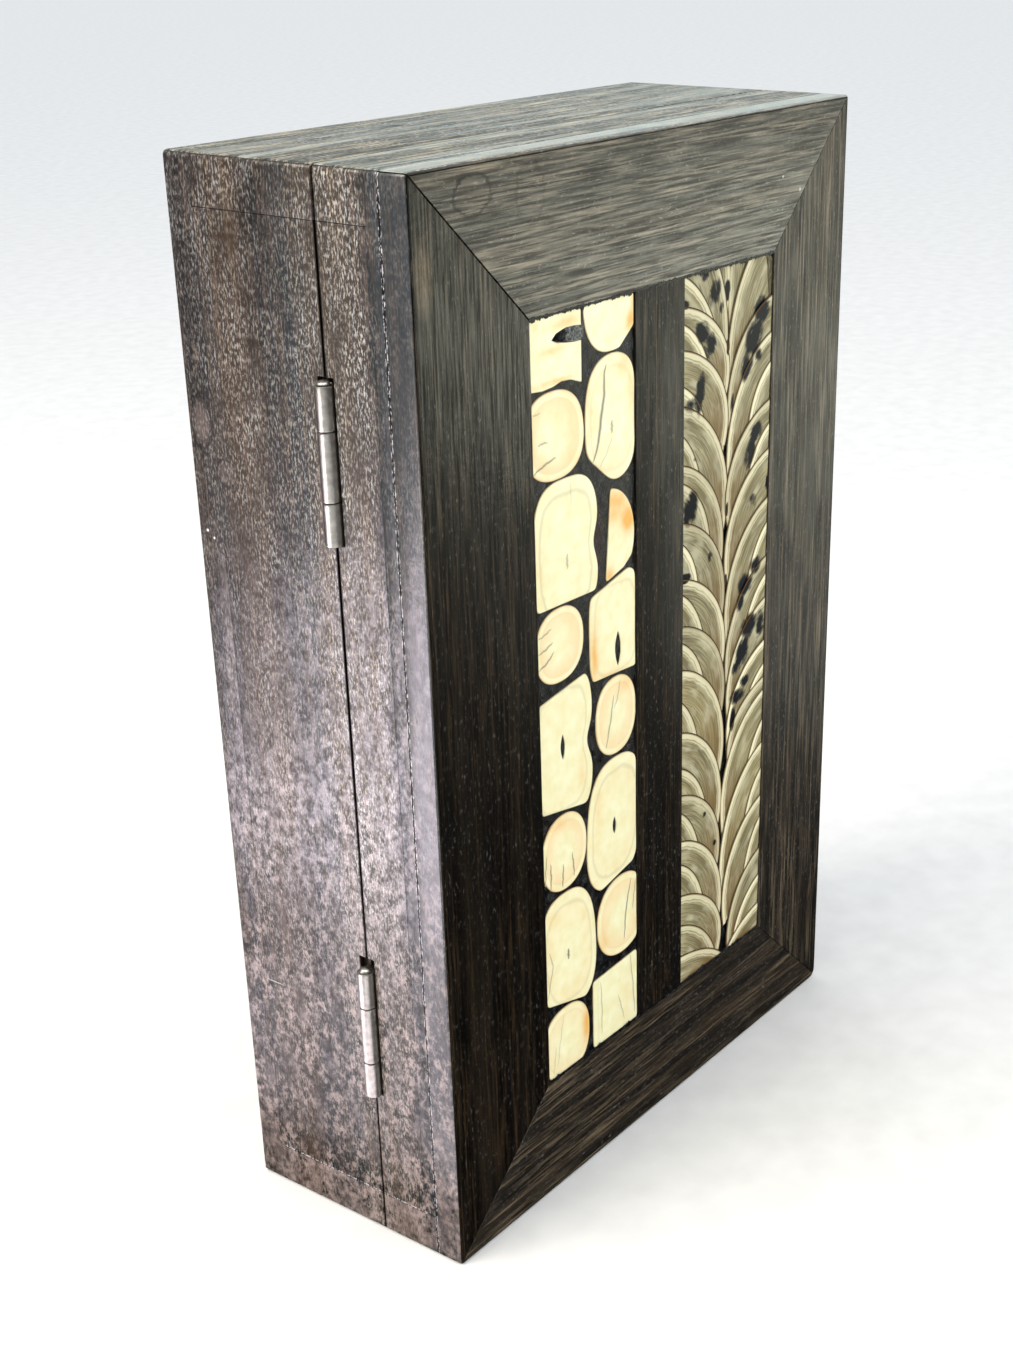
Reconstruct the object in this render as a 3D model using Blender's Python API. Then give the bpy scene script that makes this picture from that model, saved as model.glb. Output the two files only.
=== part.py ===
"""Cigar humidor: a shallow dark wood case with a hinged lid, standing on its short end.

The lid carries a mitred frame round two inlaid panels. The panel on the hinge side holds slices of
tusk set in black resin, and the other holds horn slices lapped like a feather. The lid turns on two
butt hinges at the -X side. Metres, +Z up. The lid faces -Y, X = 0 is the middle of the width, Y = 0
the middle of the depth and Z = 0 the underside.
"""
import math
from collections import namedtuple

import bmesh
import bpy
import numpy as np
from mathutils import Vector

MM = 0.001

# Overall size
WIDTH = 249.5 * MM
HEIGHT = 381.0 * MM

# Layers, from the front of the lid to the back of the case
FRAME_THICK = 10.8 * MM
BACKING_THICK = 4.9 * MM
LID_RIM_DEPTH = 19.9 * MM
SEAM = 0.8 * MM
CASE_WALL_DEPTH = 51.3 * MM
FLOOR_THICK = 10.6 * MM

# Glue line, or bare clearance, between two pieces that meet
FIT = 0.3 * MM

# Walls
SIDE_BOARD = 16.0 * MM
END_BOARD = 16.0 * MM

# Lid frame: widths of its members, and of the panel beside the hinges
HINGE_STILE = 54.0 * MM
OPENING_STILE = 50.5 * MM
TOP_RAIL = 50.5 * MM
BOTTOM_RAIL = 48.3 * MM
HINGE_PANEL = 57.0 * MM
DIVIDER_WIDTH = 29.5 * MM

# Corners and edges, worn and sanded round
CORNER_HINGE_BOTTOM = 1.5 * MM
CORNER_OPENING_BOTTOM = 4.0 * MM
CORNER_OPENING_TOP = 1.5 * MM
CORNER_HINGE_TOP = 1.8 * MM
CORNER_STEPS = 3
EDGE_EASE = 0.9 * MM
BACK_FOOT_ROUND = 4.5 * MM

# Inlays: how far each face lies behind the frame's face, and how deep the slices go
SLICE_SINK = 0.5 * MM
RESIN_SINK = 0.8 * MM
SLICE_THICK = 4.0 * MM
LAP = 0.2 * MM
LAP_STEP_IN = 0.08 * MM
SLICE_GAP = 0.6 * MM

# Butt hinges
PIN_PROUD = 1.0 * MM
BARREL_RADIUS = 3.0 * MM
PIN_RADIUS = 1.2 * MM
HEAD_RADIUS = 2.3 * MM
HEAD_HEIGHT = 1.3 * MM
OUTER_KNUCKLE = 14.0 * MM
MIDDLE_KNUCKLE = 22.2 * MM
LEAF_THICK = 1.2 * MM
LEAF_PROUD = 0.2 * MM
LEAF_REACH = 14.0 * MM
BARREL_CLEARANCE = 0.45 * MM
UPPER_HINGE_DOWN = 90.0 * MM
LOWER_HINGE_UP = 85.7 * MM
UPPER_NOTCH_ROOM = 2.2 * MM
LOWER_NOTCH_ROOM = 4.6 * MM
ROUND_SIDES = 16
# Where the dome's rings lie, in degrees up its quarter ellipse
HEAD_DOME = (0, 35, 68)

# Planes along the depth
DEPTH = (FRAME_THICK + BACKING_THICK + LID_RIM_DEPTH + SEAM + CASE_WALL_DEPTH
         + FLOOR_THICK + 3 * FIT)
FRONT = -DEPTH / 2
BACK = DEPTH / 2
FRAME_BACK = FRONT + FRAME_THICK
BACKING_FRONT = FRAME_BACK + FIT
BACKING_BACK = BACKING_FRONT + BACKING_THICK
LID_RIM_FRONT = BACKING_BACK + FIT
LID_RIM_BACK = LID_RIM_FRONT + LID_RIM_DEPTH
CASE_FRONT = LID_RIM_BACK + SEAM
CASE_BACK = CASE_FRONT + CASE_WALL_DEPTH
FLOOR_FRONT = CASE_BACK + FIT
SLICE_BACK = FRONT + SLICE_SINK + SLICE_THICK

# Planes along the width and height
HINGE_FACE = -WIDTH / 2
OPENING_FACE = WIDTH / 2
HINGE_PANEL_X = (HINGE_FACE + HINGE_STILE, HINGE_FACE + HINGE_STILE + HINGE_PANEL)
DIVIDER_X = (HINGE_PANEL_X[1], HINGE_PANEL_X[1] + DIVIDER_WIDTH)
OPENING_PANEL_X = (DIVIDER_X[1], OPENING_FACE - OPENING_STILE)
PANEL_Z = (BOTTOM_RAIL, HEIGHT - TOP_RAIL)

# Hinge pin
PIN_X = HINGE_FACE - PIN_PROUD
PIN_Y = (LID_RIM_BACK + CASE_FRONT) / 2
HINGE_LENGTH = 2 * OUTER_KNUCKLE + MIDDLE_KNUCKLE + 2 * FIT

# Colours: red, green, blue as linear values, then roughness and metallic
FINISHES = {
    "dark_wood": ((0.030, 0.024, 0.020), 0.35, 0.0),
    "resin": ((0.006, 0.006, 0.007), 0.20, 0.0),
    "tusk": ((0.78, 0.70, 0.48), 0.30, 0.0),
    "horn": ((0.42, 0.37, 0.24), 0.28, 0.0),
    "nickel": ((0.55, 0.54, 0.52), 0.30, 1.0),
}

# The tusk slices were laid out in a panel of this size, in millimetres, and stretch with it
TUSK_LAYOUT = (57.0, 282.2)
TuskSlice = namedtuple("TuskSlice", "name across up half_width half_height square lean waist cuts slit")
# across and up place the middle, from the panel's hinge side and its bottom. square is the power
# of the outline, from 2 for an ellipse to 10 for a block. lean is the slope that its upright sides
# have, and waist how deep a hollow the side away from the hinges has, and how far up. Each cut is
# a saw line through two points that keeps what lies to its left, and slit is the pulp cavity's
# middle, half width and half height, where it is an open crack.
TUSK_SLICES = (
    TuskSlice("a1", 14.0, 281.7, 26.0, 23.0, 10.0, 0.0, None, (((27.3, 0), (27.3, 280)),), None),
    TuskSlice("a2", 12.0, 242.8, 16.0, 14.9, 2.4, -0.06, None, (), None),
    TuskSlice("a3", 17.3, 201.7, 18.1, 25.9, 3.2, 0.0, (2.8, 201.5), (((0, 184.6), (31, 183.9)),), None),
    TuskSlice("a4", 12.5, 170.2, 13.5, 13.5, 2.3, 0.0, None, (), None),
    TuskSlice("a5", 12.8, 130.7, 17.6, 28.0, 4.0, 0.0, (3.2, 129.7),
              (((24.8, 155.2), (0.3, 151.5)), ((0, 109.9), (24, 105.7))), (12.8, 132.2, 1.1, 4.6)),
    TuskSlice("a6", 12.6, 91.3, 13.2, 15.0, 2.2, 0.0, None, (), None),
    TuskSlice("a7", 14.0, 49.7, 16.6, 25.3, 2.7, -0.05, None, (((0, 32.2), (24.5, 25.8)),), None),
    TuskSlice("a8", 11.5, 12.5, 14.2, 15.2, 2.4, 0.0, None, (), None),
    TuskSlice("b1", 44.0, 283.7, 15.5, 19.2, 2.4, 0.0, None, (((49, 265.2), (56.5, 271.0)),), None),
    TuskSlice("b2", 44.0, 241.9, 15.2, 22.0, 2.6, 0.0, None, (((27.5, 233.0), (43, 220.8)),), None),
    TuskSlice("b3", 41.5, 199.5, 15.0, 18.2, 2.0, 0.0, None,
              (((42.5, 217.9), (39.3, 184.7)), ((39.3, 184.7), (50.0, 187.5)),
               ((50.0, 187.5), (56.3, 192.0))), None),
    TuskSlice("b4", 44.5, 166.7, 15.2, 20.5, 4.0, 0.0, None,
              (((54, 187.2), (31, 181.7)), ((30, 150.2), (56.5, 148.6))), (46.0, 158.3, 1.6, 6.5)),
    TuskSlice("b5", 44.5, 133.2, 12.3, 15.0, 2.3, 0.0, None, (), None),
    TuskSlice("b6", 43.2, 91.0, 17.0, 26.0, 2.7, 0.07, None,
              (((32, 65.4), (56.8, 70.7)),), (42.8, 89.7, 0.9, 3.2)),
    TuskSlice("b7", 47.0, 50.7, 15.6, 16.6, 2.2, 0.0, None, (), None),
    TuskSlice("b8", 44.0, 13.7, 15.9, 24.0, 6.0, 0.0, None, (((56.8, 31.0), (28.3, 29.5)),), None),
)
# How far up and down from its deepest point a waist reaches
WAIST_SPREAD = 6.5
# The saw slot in the top slice: its low and high edge, the point it runs in to, and how far its
# low edge has risen half way
SLOT_LOW = 271.2
SLOT_HIGH = 276.0
SLOT_TIP = (11.5, 273.9)
SLOT_LEAN = 0.8
TUSK_POINTS = 32

# The horn slices were laid out in a panel of this size, in millimetres, with the spine that the
# two rows meet at. A slice's rim is part of an ellipse whose top lies RIM_LEAD outside the panel:
# it starts at the panel's side, at start above the bottom, and falls by drop to its end at reach.
# Each slice laps over those before it. A row lists its slices from the top down, in the groups
# that are glued up as one.
HORN_LAYOUT = (58.5, 282.2)
HORN_SPINE = 30.0
SPINE_GAP = 0.7
RIM_LEAD = 11.0
RIM_POINTS = 10
Rim = namedtuple("Rim", "start reach drop")
HINGE_SIDE_ROW = (
    (Rim(323.7, 30.0, 49.0), Rim(301.2, 29.0, 46.5)),
    (Rim(282.2, 28.5, 57.0), Rim(271.7, 30.0, 28.0), Rim(265.7, 19.5, 32.0)),
    (Rim(256.5, 29.5, 30.8), Rim(243.7, 16.5, 26.0), Rim(236.5, 30.0, 40.4), Rim(225.8, 14.5, 35.5)),
    (Rim(215.2, 27.5, 37.0), Rim(208.6, 19.5, 32.0), Rim(193.7, 29.0, 35.6), Rim(185.7, 11.5, 24.0)),
    (Rim(172.2, 29.8, 35.0), Rim(166.2, 17.5, 35.6), Rim(153.7, 30.0, 35.0), Rim(147.2, 17.5, 32.0)),
    (Rim(136.3, 30.0, 40.5), Rim(123.2, 14.0, 35.0), Rim(110.7, 28.8, 39.0), Rim(95.7, 19.5, 33.0)),
    (Rim(84.2, 28.0, 33.6), Rim(76.7, 15.0, 33.0), Rim(64.4, 30.0, 38.5), Rim(54.2, 18.5, 34.0)),
    (Rim(40.1, 30.0, 29.9), Rim(26.7, 28.0, 37.4), Rim(12.6, 35.5, 24.3)),
)
OPENING_SIDE_ROW = (
    (Rim(323.7, 27.5, 52.0), Rim(293.4, 27.5, 46.4), Rim(266.7, 27.5, 36.0)),
    (Rim(253.2, 27.3, 42.0), Rim(242.3, 14.5, 26.0), Rim(227.7, 28.0, 33.0), Rim(218.7, 15.0, 26.7)),
    (Rim(208.7, 28.1, 37.0), Rim(189.4, 27.5, 41.0), Rim(179.7, 14.0, 31.5)),
    (Rim(165.7, 26.5, 37.0), Rim(158.7, 16.0, 31.0), Rim(148.7, 25.5, 35.0)),
    (Rim(130.7, 25.0, 32.0), Rim(120.7, 13.0, 20.0), Rim(114.7, 24.5, 24.0)),
    (Rim(109.2, 28.1, 42.0), Rim(96.4, 12.5, 31.0), Rim(86.2, 28.1, 47.0), Rim(74.7, 12.0, 26.0)),
    (Rim(62.1, 26.0, 38.7), Rim(52.7, 12.0, 30.0), Rim(37.7, 23.0, 33.0)),
    (Rim(25.4, 19.5, 29.4), Rim(11.7, 27.0, 23.0)),
)


def clear_scene():
    """Remove every object of the start-up scene."""
    for obj in list(bpy.data.objects):
        bpy.data.objects.remove(obj, do_unlink=True)


def make_materials():
    """One shader for each finish."""
    materials = {}
    for name, (colour, roughness, metallic) in FINISHES.items():
        material = bpy.data.materials.new(name)
        material.use_nodes = True
        shader = material.node_tree.nodes["Principled BSDF"]
        shader.inputs["Base Color"].default_value = (*colour, 1.0)
        shader.inputs["Roughness"].default_value = roughness
        shader.inputs["Metallic"].default_value = metallic
        materials[name] = material
    return materials


def own_material(obj, finish):
    """Give a piece its own copy of a finish."""
    material = MATERIALS[finish].copy()
    material.name = obj.name + "_" + finish
    obj.data.materials.append(material)


def link_mesh(name, bm, parent, finish):
    """Turn a bmesh in world coordinates into an object placed at its own middle."""
    bmesh.ops.recalc_face_normals(bm, faces=bm.faces)
    low = Vector([min(v.co[i] for v in bm.verts) for i in range(3)])
    high = Vector([max(v.co[i] for v in bm.verts) for i in range(3)])
    middle = (low + high) / 2
    bmesh.ops.translate(bm, verts=bm.verts, vec=-middle)
    mesh = bpy.data.meshes.new(name)
    bm.to_mesh(mesh)
    bm.free()
    obj = bpy.data.objects.new(name, mesh)
    bpy.context.scene.collection.objects.link(obj)
    obj.parent = parent
    obj.location = middle - parent.location if parent else middle
    if finish:
        own_material(obj, finish)
    return obj


def hide_tool(obj):
    """Mark a cutter, or a shape that is joined into another, as no piece of its own."""
    obj.hide_render = True
    obj.display_type = "WIRE"


def boolean(target, tool, operation):
    """Cut a tool shape out of a piece, or join it on."""
    hide_tool(tool)
    modifier = target.modifiers.new(tool.name, "BOOLEAN")
    modifier.operation = operation
    modifier.solver = "EXACT"
    modifier.object = tool


def prism_mesh(outline, front, back):
    """A closed prism: an outline in X and Z, carried from front to back along Y."""
    bm = bmesh.new()
    face = bm.faces.new([bm.verts.new((x, front, z)) for x, z in outline])
    grown = bmesh.ops.extrude_face_region(bm, geom=[face])
    moved = [item for item in grown["geom"] if isinstance(item, bmesh.types.BMVert)]
    bmesh.ops.translate(bm, verts=moved, vec=(0, back - front, 0))
    return bm


def prism(name, outline, front, back, parent, finish):
    """A prism as a piece."""
    return link_mesh(name, prism_mesh(outline, front, back), parent, finish)


def block(name, x_span, y_span, z_span, parent=None):
    """A plain block, for a cutter."""
    outline = rectangle(x_span, z_span)
    return prism(name, outline, y_span[0], y_span[1], parent, None)


def rectangle(x_span, z_span):
    """Four corners, counter-clockwise seen from the front."""
    return [(x_span[0], z_span[0]), (x_span[1], z_span[0]), (x_span[1], z_span[1]),
            (x_span[0], z_span[1])]


def outer_outline():
    """The box's outline from the front: a rectangle with its four corners worn round."""
    corners = ((HINGE_FACE, 0.0, CORNER_HINGE_BOTTOM), (OPENING_FACE, 0.0, CORNER_OPENING_BOTTOM),
               (OPENING_FACE, HEIGHT, CORNER_OPENING_TOP), (HINGE_FACE, HEIGHT, CORNER_HINGE_TOP))
    outline = []
    for quarter, (x, z, radius) in enumerate(corners, start=2):
        centre_x = x - math.copysign(radius, x)
        centre_z = radius if z == 0.0 else z - radius
        for step in range(CORNER_STEPS + 1):
            angle = math.pi / 2 * (quarter + step / CORNER_STEPS)
            outline.append((centre_x + radius * math.cos(angle), centre_z + radius * math.sin(angle)))
    return outline


def clip(outline, start, end):
    """Keep the part of a convex outline that lies to the left of the line from start to end."""
    def side(point):
        return ((end[0] - start[0]) * (point[1] - start[1])
                - (end[1] - start[1]) * (point[0] - start[0]))

    kept = []
    for here, after in zip(outline, outline[1:] + outline[:1]):
        side_here, side_after = side(here), side(after)
        if side_here >= 0:
            kept.append(here)
        if side_here * side_after < 0:
            share = side_here / (side_here - side_after)
            kept.append((here[0] + share * (after[0] - here[0]), here[1] + share * (after[1] - here[1])))
    return kept


def clip_box(outline, x_span, z_span):
    """Keep the part of a convex outline inside a rectangle."""
    corners = rectangle(x_span, z_span)
    for start, end in zip(corners, corners[1:] + corners[:1]):
        outline = clip(outline, start, end)
    return outline


def shifted_line(start, end, distance):
    """A line moved to its own left by a distance."""
    length = math.dist(start, end)
    step_x = -(end[1] - start[1]) / length * distance
    step_z = (end[0] - start[0]) / length * distance
    return (start[0] + step_x, start[1] + step_z), (end[0] + step_x, end[1] + step_z)


def grown(outline, distance):
    """An outline with every side moved outwards by a distance."""
    points = np.array(outline)
    before = points - np.roll(points, 1, axis=0)
    after = np.roll(points, -1, axis=0) - points
    normals = []
    for side in (before, after):
        normals.append(np.stack([side[:, 1], -side[:, 0]], axis=1) / np.linalg.norm(side, axis=1)[:, None])
    shared = 1 + np.sum(normals[0] * normals[1], axis=1)
    return [tuple(p) for p in points + distance * (normals[0] + normals[1]) / shared[:, None]]


def ease_edges(obj, plane_y, width):
    """Round the outer edges of the box where they meet the plane at this depth."""
    bm = bmesh.new()
    bm.from_mesh(obj.data)
    near = 1e-5
    place = obj.location + (obj.parent.location if obj.parent else Vector())
    outer = outer_outline()

    def on_outside(x, z):
        return any(abs((b[0] - a[0]) * (z - a[1]) - (b[1] - a[1]) * (x - a[0])) < near * math.dist(a, b)
                   for a, b in zip(outer, outer[1:] + outer[:1]))

    chosen = []
    for edge in bm.edges:
        ends = [vert.co + place for vert in edge.verts]
        middle = (ends[0] + ends[1]) / 2
        flat = all(abs(end.y - plane_y) < near for end in ends)
        if flat and on_outside(middle.x, middle.z):
            chosen.append(edge)
    bmesh.ops.bevel(bm, geom=chosen, offset=width, segments=2, profile=0.5, affect="EDGES",
                    clamp_overlap=True)
    bm.to_mesh(obj.data)
    bm.free()


def round_back_foot(obj):
    """Round the long edge at the back of the underside, worn by standing on it."""
    bm = bmesh.new()
    bm.from_mesh(obj.data)
    near = 1e-5
    chosen = []
    for edge in bm.edges:
        ends = [vert.co + obj.location for vert in edge.verts]
        if all(abs(end.z) < near and abs(end.y - BACK) < near for end in ends):
            chosen.append(edge)
    bmesh.ops.bevel(bm, geom=chosen, offset=BACK_FOOT_ROUND, segments=4, profile=0.5, affect="EDGES",
                    clamp_overlap=True)
    bm.to_mesh(obj.data)
    bm.free()


def rim_boards(prefix, front, back, parent):
    """Four walls of a tray: two full-width end boards with the two side boards between them."""
    outer = outer_outline()
    inner_x = (HINGE_FACE + SIDE_BOARD, OPENING_FACE - SIDE_BOARD)
    side_z = (END_BOARD + FIT, HEIGHT - END_BOARD - FIT)
    full_x = (HINGE_FACE, OPENING_FACE)
    spans = (
        ("hinge_side_board", (HINGE_FACE, inner_x[0]), side_z),
        ("opening_side_board", (inner_x[1], OPENING_FACE), side_z),
        ("top_end_board", full_x, (HEIGHT - END_BOARD, HEIGHT)),
        ("bottom_end_board", full_x, (0.0, END_BOARD)),
    )
    boards = {}
    for name, x_span, z_span in spans:
        outline = clip_box(outer, x_span, z_span)
        boards[name] = prism(prefix + name, outline, front, back, parent, "dark_wood")
    return boards


def make_case():
    """The case: four walls and the floor board that closes its back."""
    boards = rim_boards("case_", CASE_FRONT, CASE_BACK, None)
    floor = prism("case_floor_board", outer_outline(), FLOOR_FRONT, BACK, None, "dark_wood")
    round_back_foot(floor)
    ease_edges(floor, BACK, EDGE_EASE)
    return boards


def mitre_lines():
    """The four saw lines of the frame's corners, from the outer corner to the inner one."""
    inner = rectangle((HINGE_PANEL_X[0], OPENING_PANEL_X[1]), PANEL_Z)
    outer = rectangle((HINGE_FACE, OPENING_FACE), (0.0, HEIGHT))
    return list(zip(outer, inner))


def make_frame(parent):
    """The lid's front: four mitred members and the divider between the two panels."""
    bottom_hinge, bottom_opening, top_opening, top_hinge = mitre_lines()
    outer = outer_outline()
    half = FIT / 2

    def member(name, x_span, z_span, first, second):
        outline = clip_box(outer, x_span, z_span)
        for start, end in (first, second):
            outline = clip(outline, *shifted_line(start, end, half))
        piece = prism(name, outline, FRONT, FRAME_BACK, parent, "dark_wood")
        ease_edges(piece, FRONT, EDGE_EASE)

    full_x, full_z = (HINGE_FACE, OPENING_FACE), (0.0, HEIGHT)
    member("frame_hinge_stile", (HINGE_FACE, HINGE_PANEL_X[0]), full_z, bottom_hinge, top_hinge[::-1])
    member("frame_opening_stile", (OPENING_PANEL_X[1], OPENING_FACE), full_z,
           top_opening, bottom_opening[::-1])
    member("frame_top_rail", full_x, (PANEL_Z[1], HEIGHT), top_hinge, top_opening[::-1])
    member("frame_bottom_rail", full_x, (0.0, PANEL_Z[0]), bottom_opening, bottom_hinge[::-1])
    divider = rectangle(DIVIDER_X, (PANEL_Z[0] + FIT, PANEL_Z[1] - FIT))
    prism("frame_divider", divider, FRONT, FRAME_BACK, parent, "dark_wood")


def panel_frame(panel_x, layout):
    """The inlay's room inside a panel, and the scale from the layout's millimetres to it."""
    x_span = (panel_x[0] + FIT, panel_x[1] - FIT)
    z_span = (PANEL_Z[0] + FIT, PANEL_Z[1] - FIT)
    scale = ((panel_x[1] - panel_x[0]) / layout[0], (PANEL_Z[1] - PANEL_Z[0]) / layout[1])
    return x_span, z_span, scale


def tusk_outline(piece):
    """A slice's outline in the layout's millimetres, as points evenly spaced along it.

    A superellipse: the cosine and the sine of the angle are raised to two over the squareness. It
    is sheared by the lean, and the waist pulls one side in with a bell curve of the height.
    """
    angle = np.linspace(0, 2 * math.pi, 721)
    power = 2 / piece.square
    up = np.sign(np.sin(angle)) * np.abs(np.sin(angle)) ** power * piece.half_height
    across = np.sign(np.cos(angle)) * np.abs(np.cos(angle)) ** power * piece.half_width
    if piece.waist:
        depth, height = piece.waist
        hollow = depth * np.exp(-((piece.up + up - height) / WAIST_SPREAD) ** 2)
        across = np.where(across > 0, across - hollow, across)
    across = across + piece.lean * up
    length = np.concatenate([[0], np.cumsum(np.hypot(np.diff(across), np.diff(up)))])
    even = np.arange(TUSK_POINTS) / TUSK_POINTS * length[-1]
    return list(zip(piece.across + np.interp(even, length, across),
                    piece.up + np.interp(even, length, up)))


def slotted(outline, scale):
    """Cut the saw slot into the straight side of the top slice."""
    side = max(x for x, _ in outline)
    tip, low, high = placed((SLOT_TIP, (0, SLOT_LOW), (0, SLOT_HIGH)), HINGE_PANEL_X, scale)
    bend = (side + tip[0]) / 2
    lean = SLOT_LEAN * scale[1]
    split = next(i for i, (x, z) in enumerate(outline) if x == side and z < low[1]) + 1
    slot = [(side, low[1]), (bend, low[1] + lean), tip, (bend, high[1] + lean / 2), (side, high[1])]
    return outline[:split] + slot + outline[split:]


def placed(outline, panel_x, scale):
    """Layout millimetres to metres in the frame."""
    return [(panel_x[0] + x * scale[0], PANEL_Z[0] + z * scale[1]) for x, z in outline]


def without_doubles(outline):
    """Drop points that lie closer to the one before than a tenth of a millimetre."""
    return [here for before, here in zip(outline[-1:] + outline[:-1], outline)
            if math.dist(before, here) > 0.1 * MM]


def lens(across, up, half_width, half_height):
    """A slit with pointed ends: its half width follows a cosine along its height."""
    steps = 4
    right = []
    for step in range(-steps, steps):
        along = step / steps
        right.append((half_width * math.cos(along * math.pi / 2) ** 0.8, along * half_height))
    left = [(-x, -z) for x, z in right]
    return [(across + x, up + z) for x, z in right + left]


def make_tusk_panel(parent):
    """Sixteen slices of tusk in two columns, let into a bed of black resin."""
    x_span, z_span, scale = panel_frame(HINGE_PANEL_X, TUSK_LAYOUT)
    bed = prism("resin_bed_hinge_side", rectangle(x_span, z_span), FRONT + RESIN_SINK, FRAME_BACK,
                parent, "resin")
    for piece in TUSK_SLICES:
        outline = tusk_outline(piece)
        for start, end in piece.cuts:
            outline = clip(outline, start, end)
        outline = clip_box(placed(outline, HINGE_PANEL_X, scale), x_span, z_span)
        if piece.name == "a1":
            outline = slotted(outline, scale)
        outline = without_doubles(outline)
        solid = prism("tusk_slice_" + piece.name, outline, FRONT + SLICE_SINK, SLICE_BACK, parent, "tusk")
        if piece.slit:
            slit = placed(lens(*piece.slit), HINGE_PANEL_X, scale)
            cutter = prism("slit_" + piece.name, slit, FRONT - FIT, SLICE_BACK + FIT, parent, None)
            boolean(solid, cutter, "DIFFERENCE")
        pocket = prism("pocket_" + piece.name, grown(outline, FIT), FRONT - FIT, SLICE_BACK + FIT,
                       parent, None)
        boolean(bed, pocket, "DIFFERENCE")


def rim_height(rim, across, spread):
    """Height of a rim over the panel's bottom, at distances across from the panel's side.

    A quarter ellipse about a centre RIM_LEAD outside the panel, grown by spread. Past its reach
    the rim runs steeply down.
    """
    centre = rim.start - rim.drop
    half_across = rim.reach + RIM_LEAD
    half_up = rim.drop / math.sqrt(1 - (RIM_LEAD / half_across) ** 2)
    share = (across + RIM_LEAD) / (half_across + spread)
    arc = centre + (half_up + spread) * np.sqrt(np.clip(1 - share ** 2, 0, None))
    steep = centre - 6 * (across - rim.reach - spread)
    return np.where(share < 1, arc, steep)


def horn_outline(rim, later_here, later_apart, side, end, ceiling, floor):
    """What shows of a slice: below its own rim and above those that lap over it, as an outline."""
    def upper(across):
        return np.minimum(rim_height(rim, across, 0.0), ceiling)

    def lower(across):
        edges = [np.full_like(across, floor)]
        edges += [rim_height(other, across, -SLICE_GAP / 2 / MM) for other in later_here]
        edges += [rim_height(other, across, SLICE_GAP / MM) for other in later_apart]
        return np.max(edges, axis=0)

    fine = np.linspace(side, min(end, rim.reach), 400)
    shows = fine[upper(fine) - lower(fine) > 0.4]
    grid = np.sin(np.linspace(0, math.pi / 2, RIM_POINTS)) * end
    inside = grid[(grid > shows[0] + 0.3) & (grid < shows[-1] - 0.3)]
    across = np.concatenate([shows[:1], inside, shows[-1:]])
    top = list(zip(across, upper(across)))
    bottom = list(zip(across, lower(across)))
    return bottom + top[::-1]


def make_horn_row(side, groups, parent):
    """One row of the feather. Each group is its slices lapped and joined as they touch.

    Each slice of a group stands a lap forward of the one before, and a step in from it at its
    sides and its back, so that no two faces of the joint lie in one plane.
    """
    _, z_span, scale = panel_frame(OPENING_PANEL_X, HORN_LAYOUT)
    on_hinge_side = side == "hinge_side"
    room = HORN_SPINE if on_hinge_side else HORN_LAYOUT[0] - HORN_SPINE
    for number, group in enumerate(groups):
        name = f"horn_slices_{side}_{number + 1}"
        apart = [rim for later in groups[number + 1:] for rim in later]
        for order, rim in enumerate(group):
            step_in = LAP_STEP_IN * order
            inset = step_in / MM
            outline = horn_outline(rim, group[order + 1:], apart, FIT / MM + inset,
                                   room - SPINE_GAP / 2 - inset,
                                   (z_span[1] - step_in - PANEL_Z[0]) / scale[1],
                                   (z_span[0] + step_in - PANEL_Z[0]) / scale[1])
            if not on_hinge_side:
                outline = [(HORN_LAYOUT[0] - x, z) for x, z in outline][::-1]
            outline = placed(outline, OPENING_PANEL_X, scale)
            face = FRONT + SLICE_SINK + LAP * (2 - order)
            back = SLICE_BACK - step_in
            if order == 0:
                solid = prism(name, outline, face, back, parent, "horn")
            else:
                lapped = prism(f"{name}_lap_{order}", outline, face, back, parent, None)
                boolean(solid, lapped, "UNION")


def make_horn_panel(parent):
    """Two rows of curved horn slices that meet at a spine, on a bed of black resin."""
    x_span, z_span, _ = panel_frame(OPENING_PANEL_X, HORN_LAYOUT)
    prism("resin_bed_opening_side", rectangle(x_span, z_span), SLICE_BACK + FIT, FRAME_BACK,
          parent, "resin")
    make_horn_row("hinge_side", HINGE_SIDE_ROW, parent)
    make_horn_row("opening_side", OPENING_SIDE_ROW, parent)


def make_lid(parent):
    """The lid: a shallow tray, a thin backing board, and the frame with its two inlays."""
    boards = rim_boards("lid_", LID_RIM_FRONT, LID_RIM_BACK, parent)
    prism("lid_backing_board", outer_outline(), BACKING_FRONT, BACKING_BACK, parent, "dark_wood")
    make_frame(parent)
    make_tusk_panel(parent)
    make_horn_panel(parent)
    return boards


def turned(name, profile, bottom, parent, finish, bored):
    """A turned shape on the hinge pin's axis, from a profile of (radius, height).

    A bored shape's profile closes on itself. Any other is closed by a cap at each end.
    """
    bm = bmesh.new()
    rings = []
    for radius, height in profile:
        ring = []
        for step in range(ROUND_SIDES):
            angle = 2 * math.pi * step / ROUND_SIDES
            ring.append(bm.verts.new((PIN_X + radius * math.cos(angle),
                                      PIN_Y + radius * math.sin(angle), bottom + height)))
        rings.append(ring)
    pairs = list(zip(rings, rings[1:]))
    if bored:
        pairs.append((rings[-1], rings[0]))
    else:
        bm.faces.new(rings[0])
        bm.faces.new(rings[-1])
    for low, high in pairs:
        for step in range(ROUND_SIDES):
            after = (step + 1) % ROUND_SIDES
            bm.faces.new((low[step], low[after], high[after], high[step]))
    obj = link_mesh(name, bm, parent, finish)
    for polygon in obj.data.polygons:
        polygon.use_smooth = True
    obj.data.set_sharp_from_angle(angle=math.radians(30))
    return obj


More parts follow.
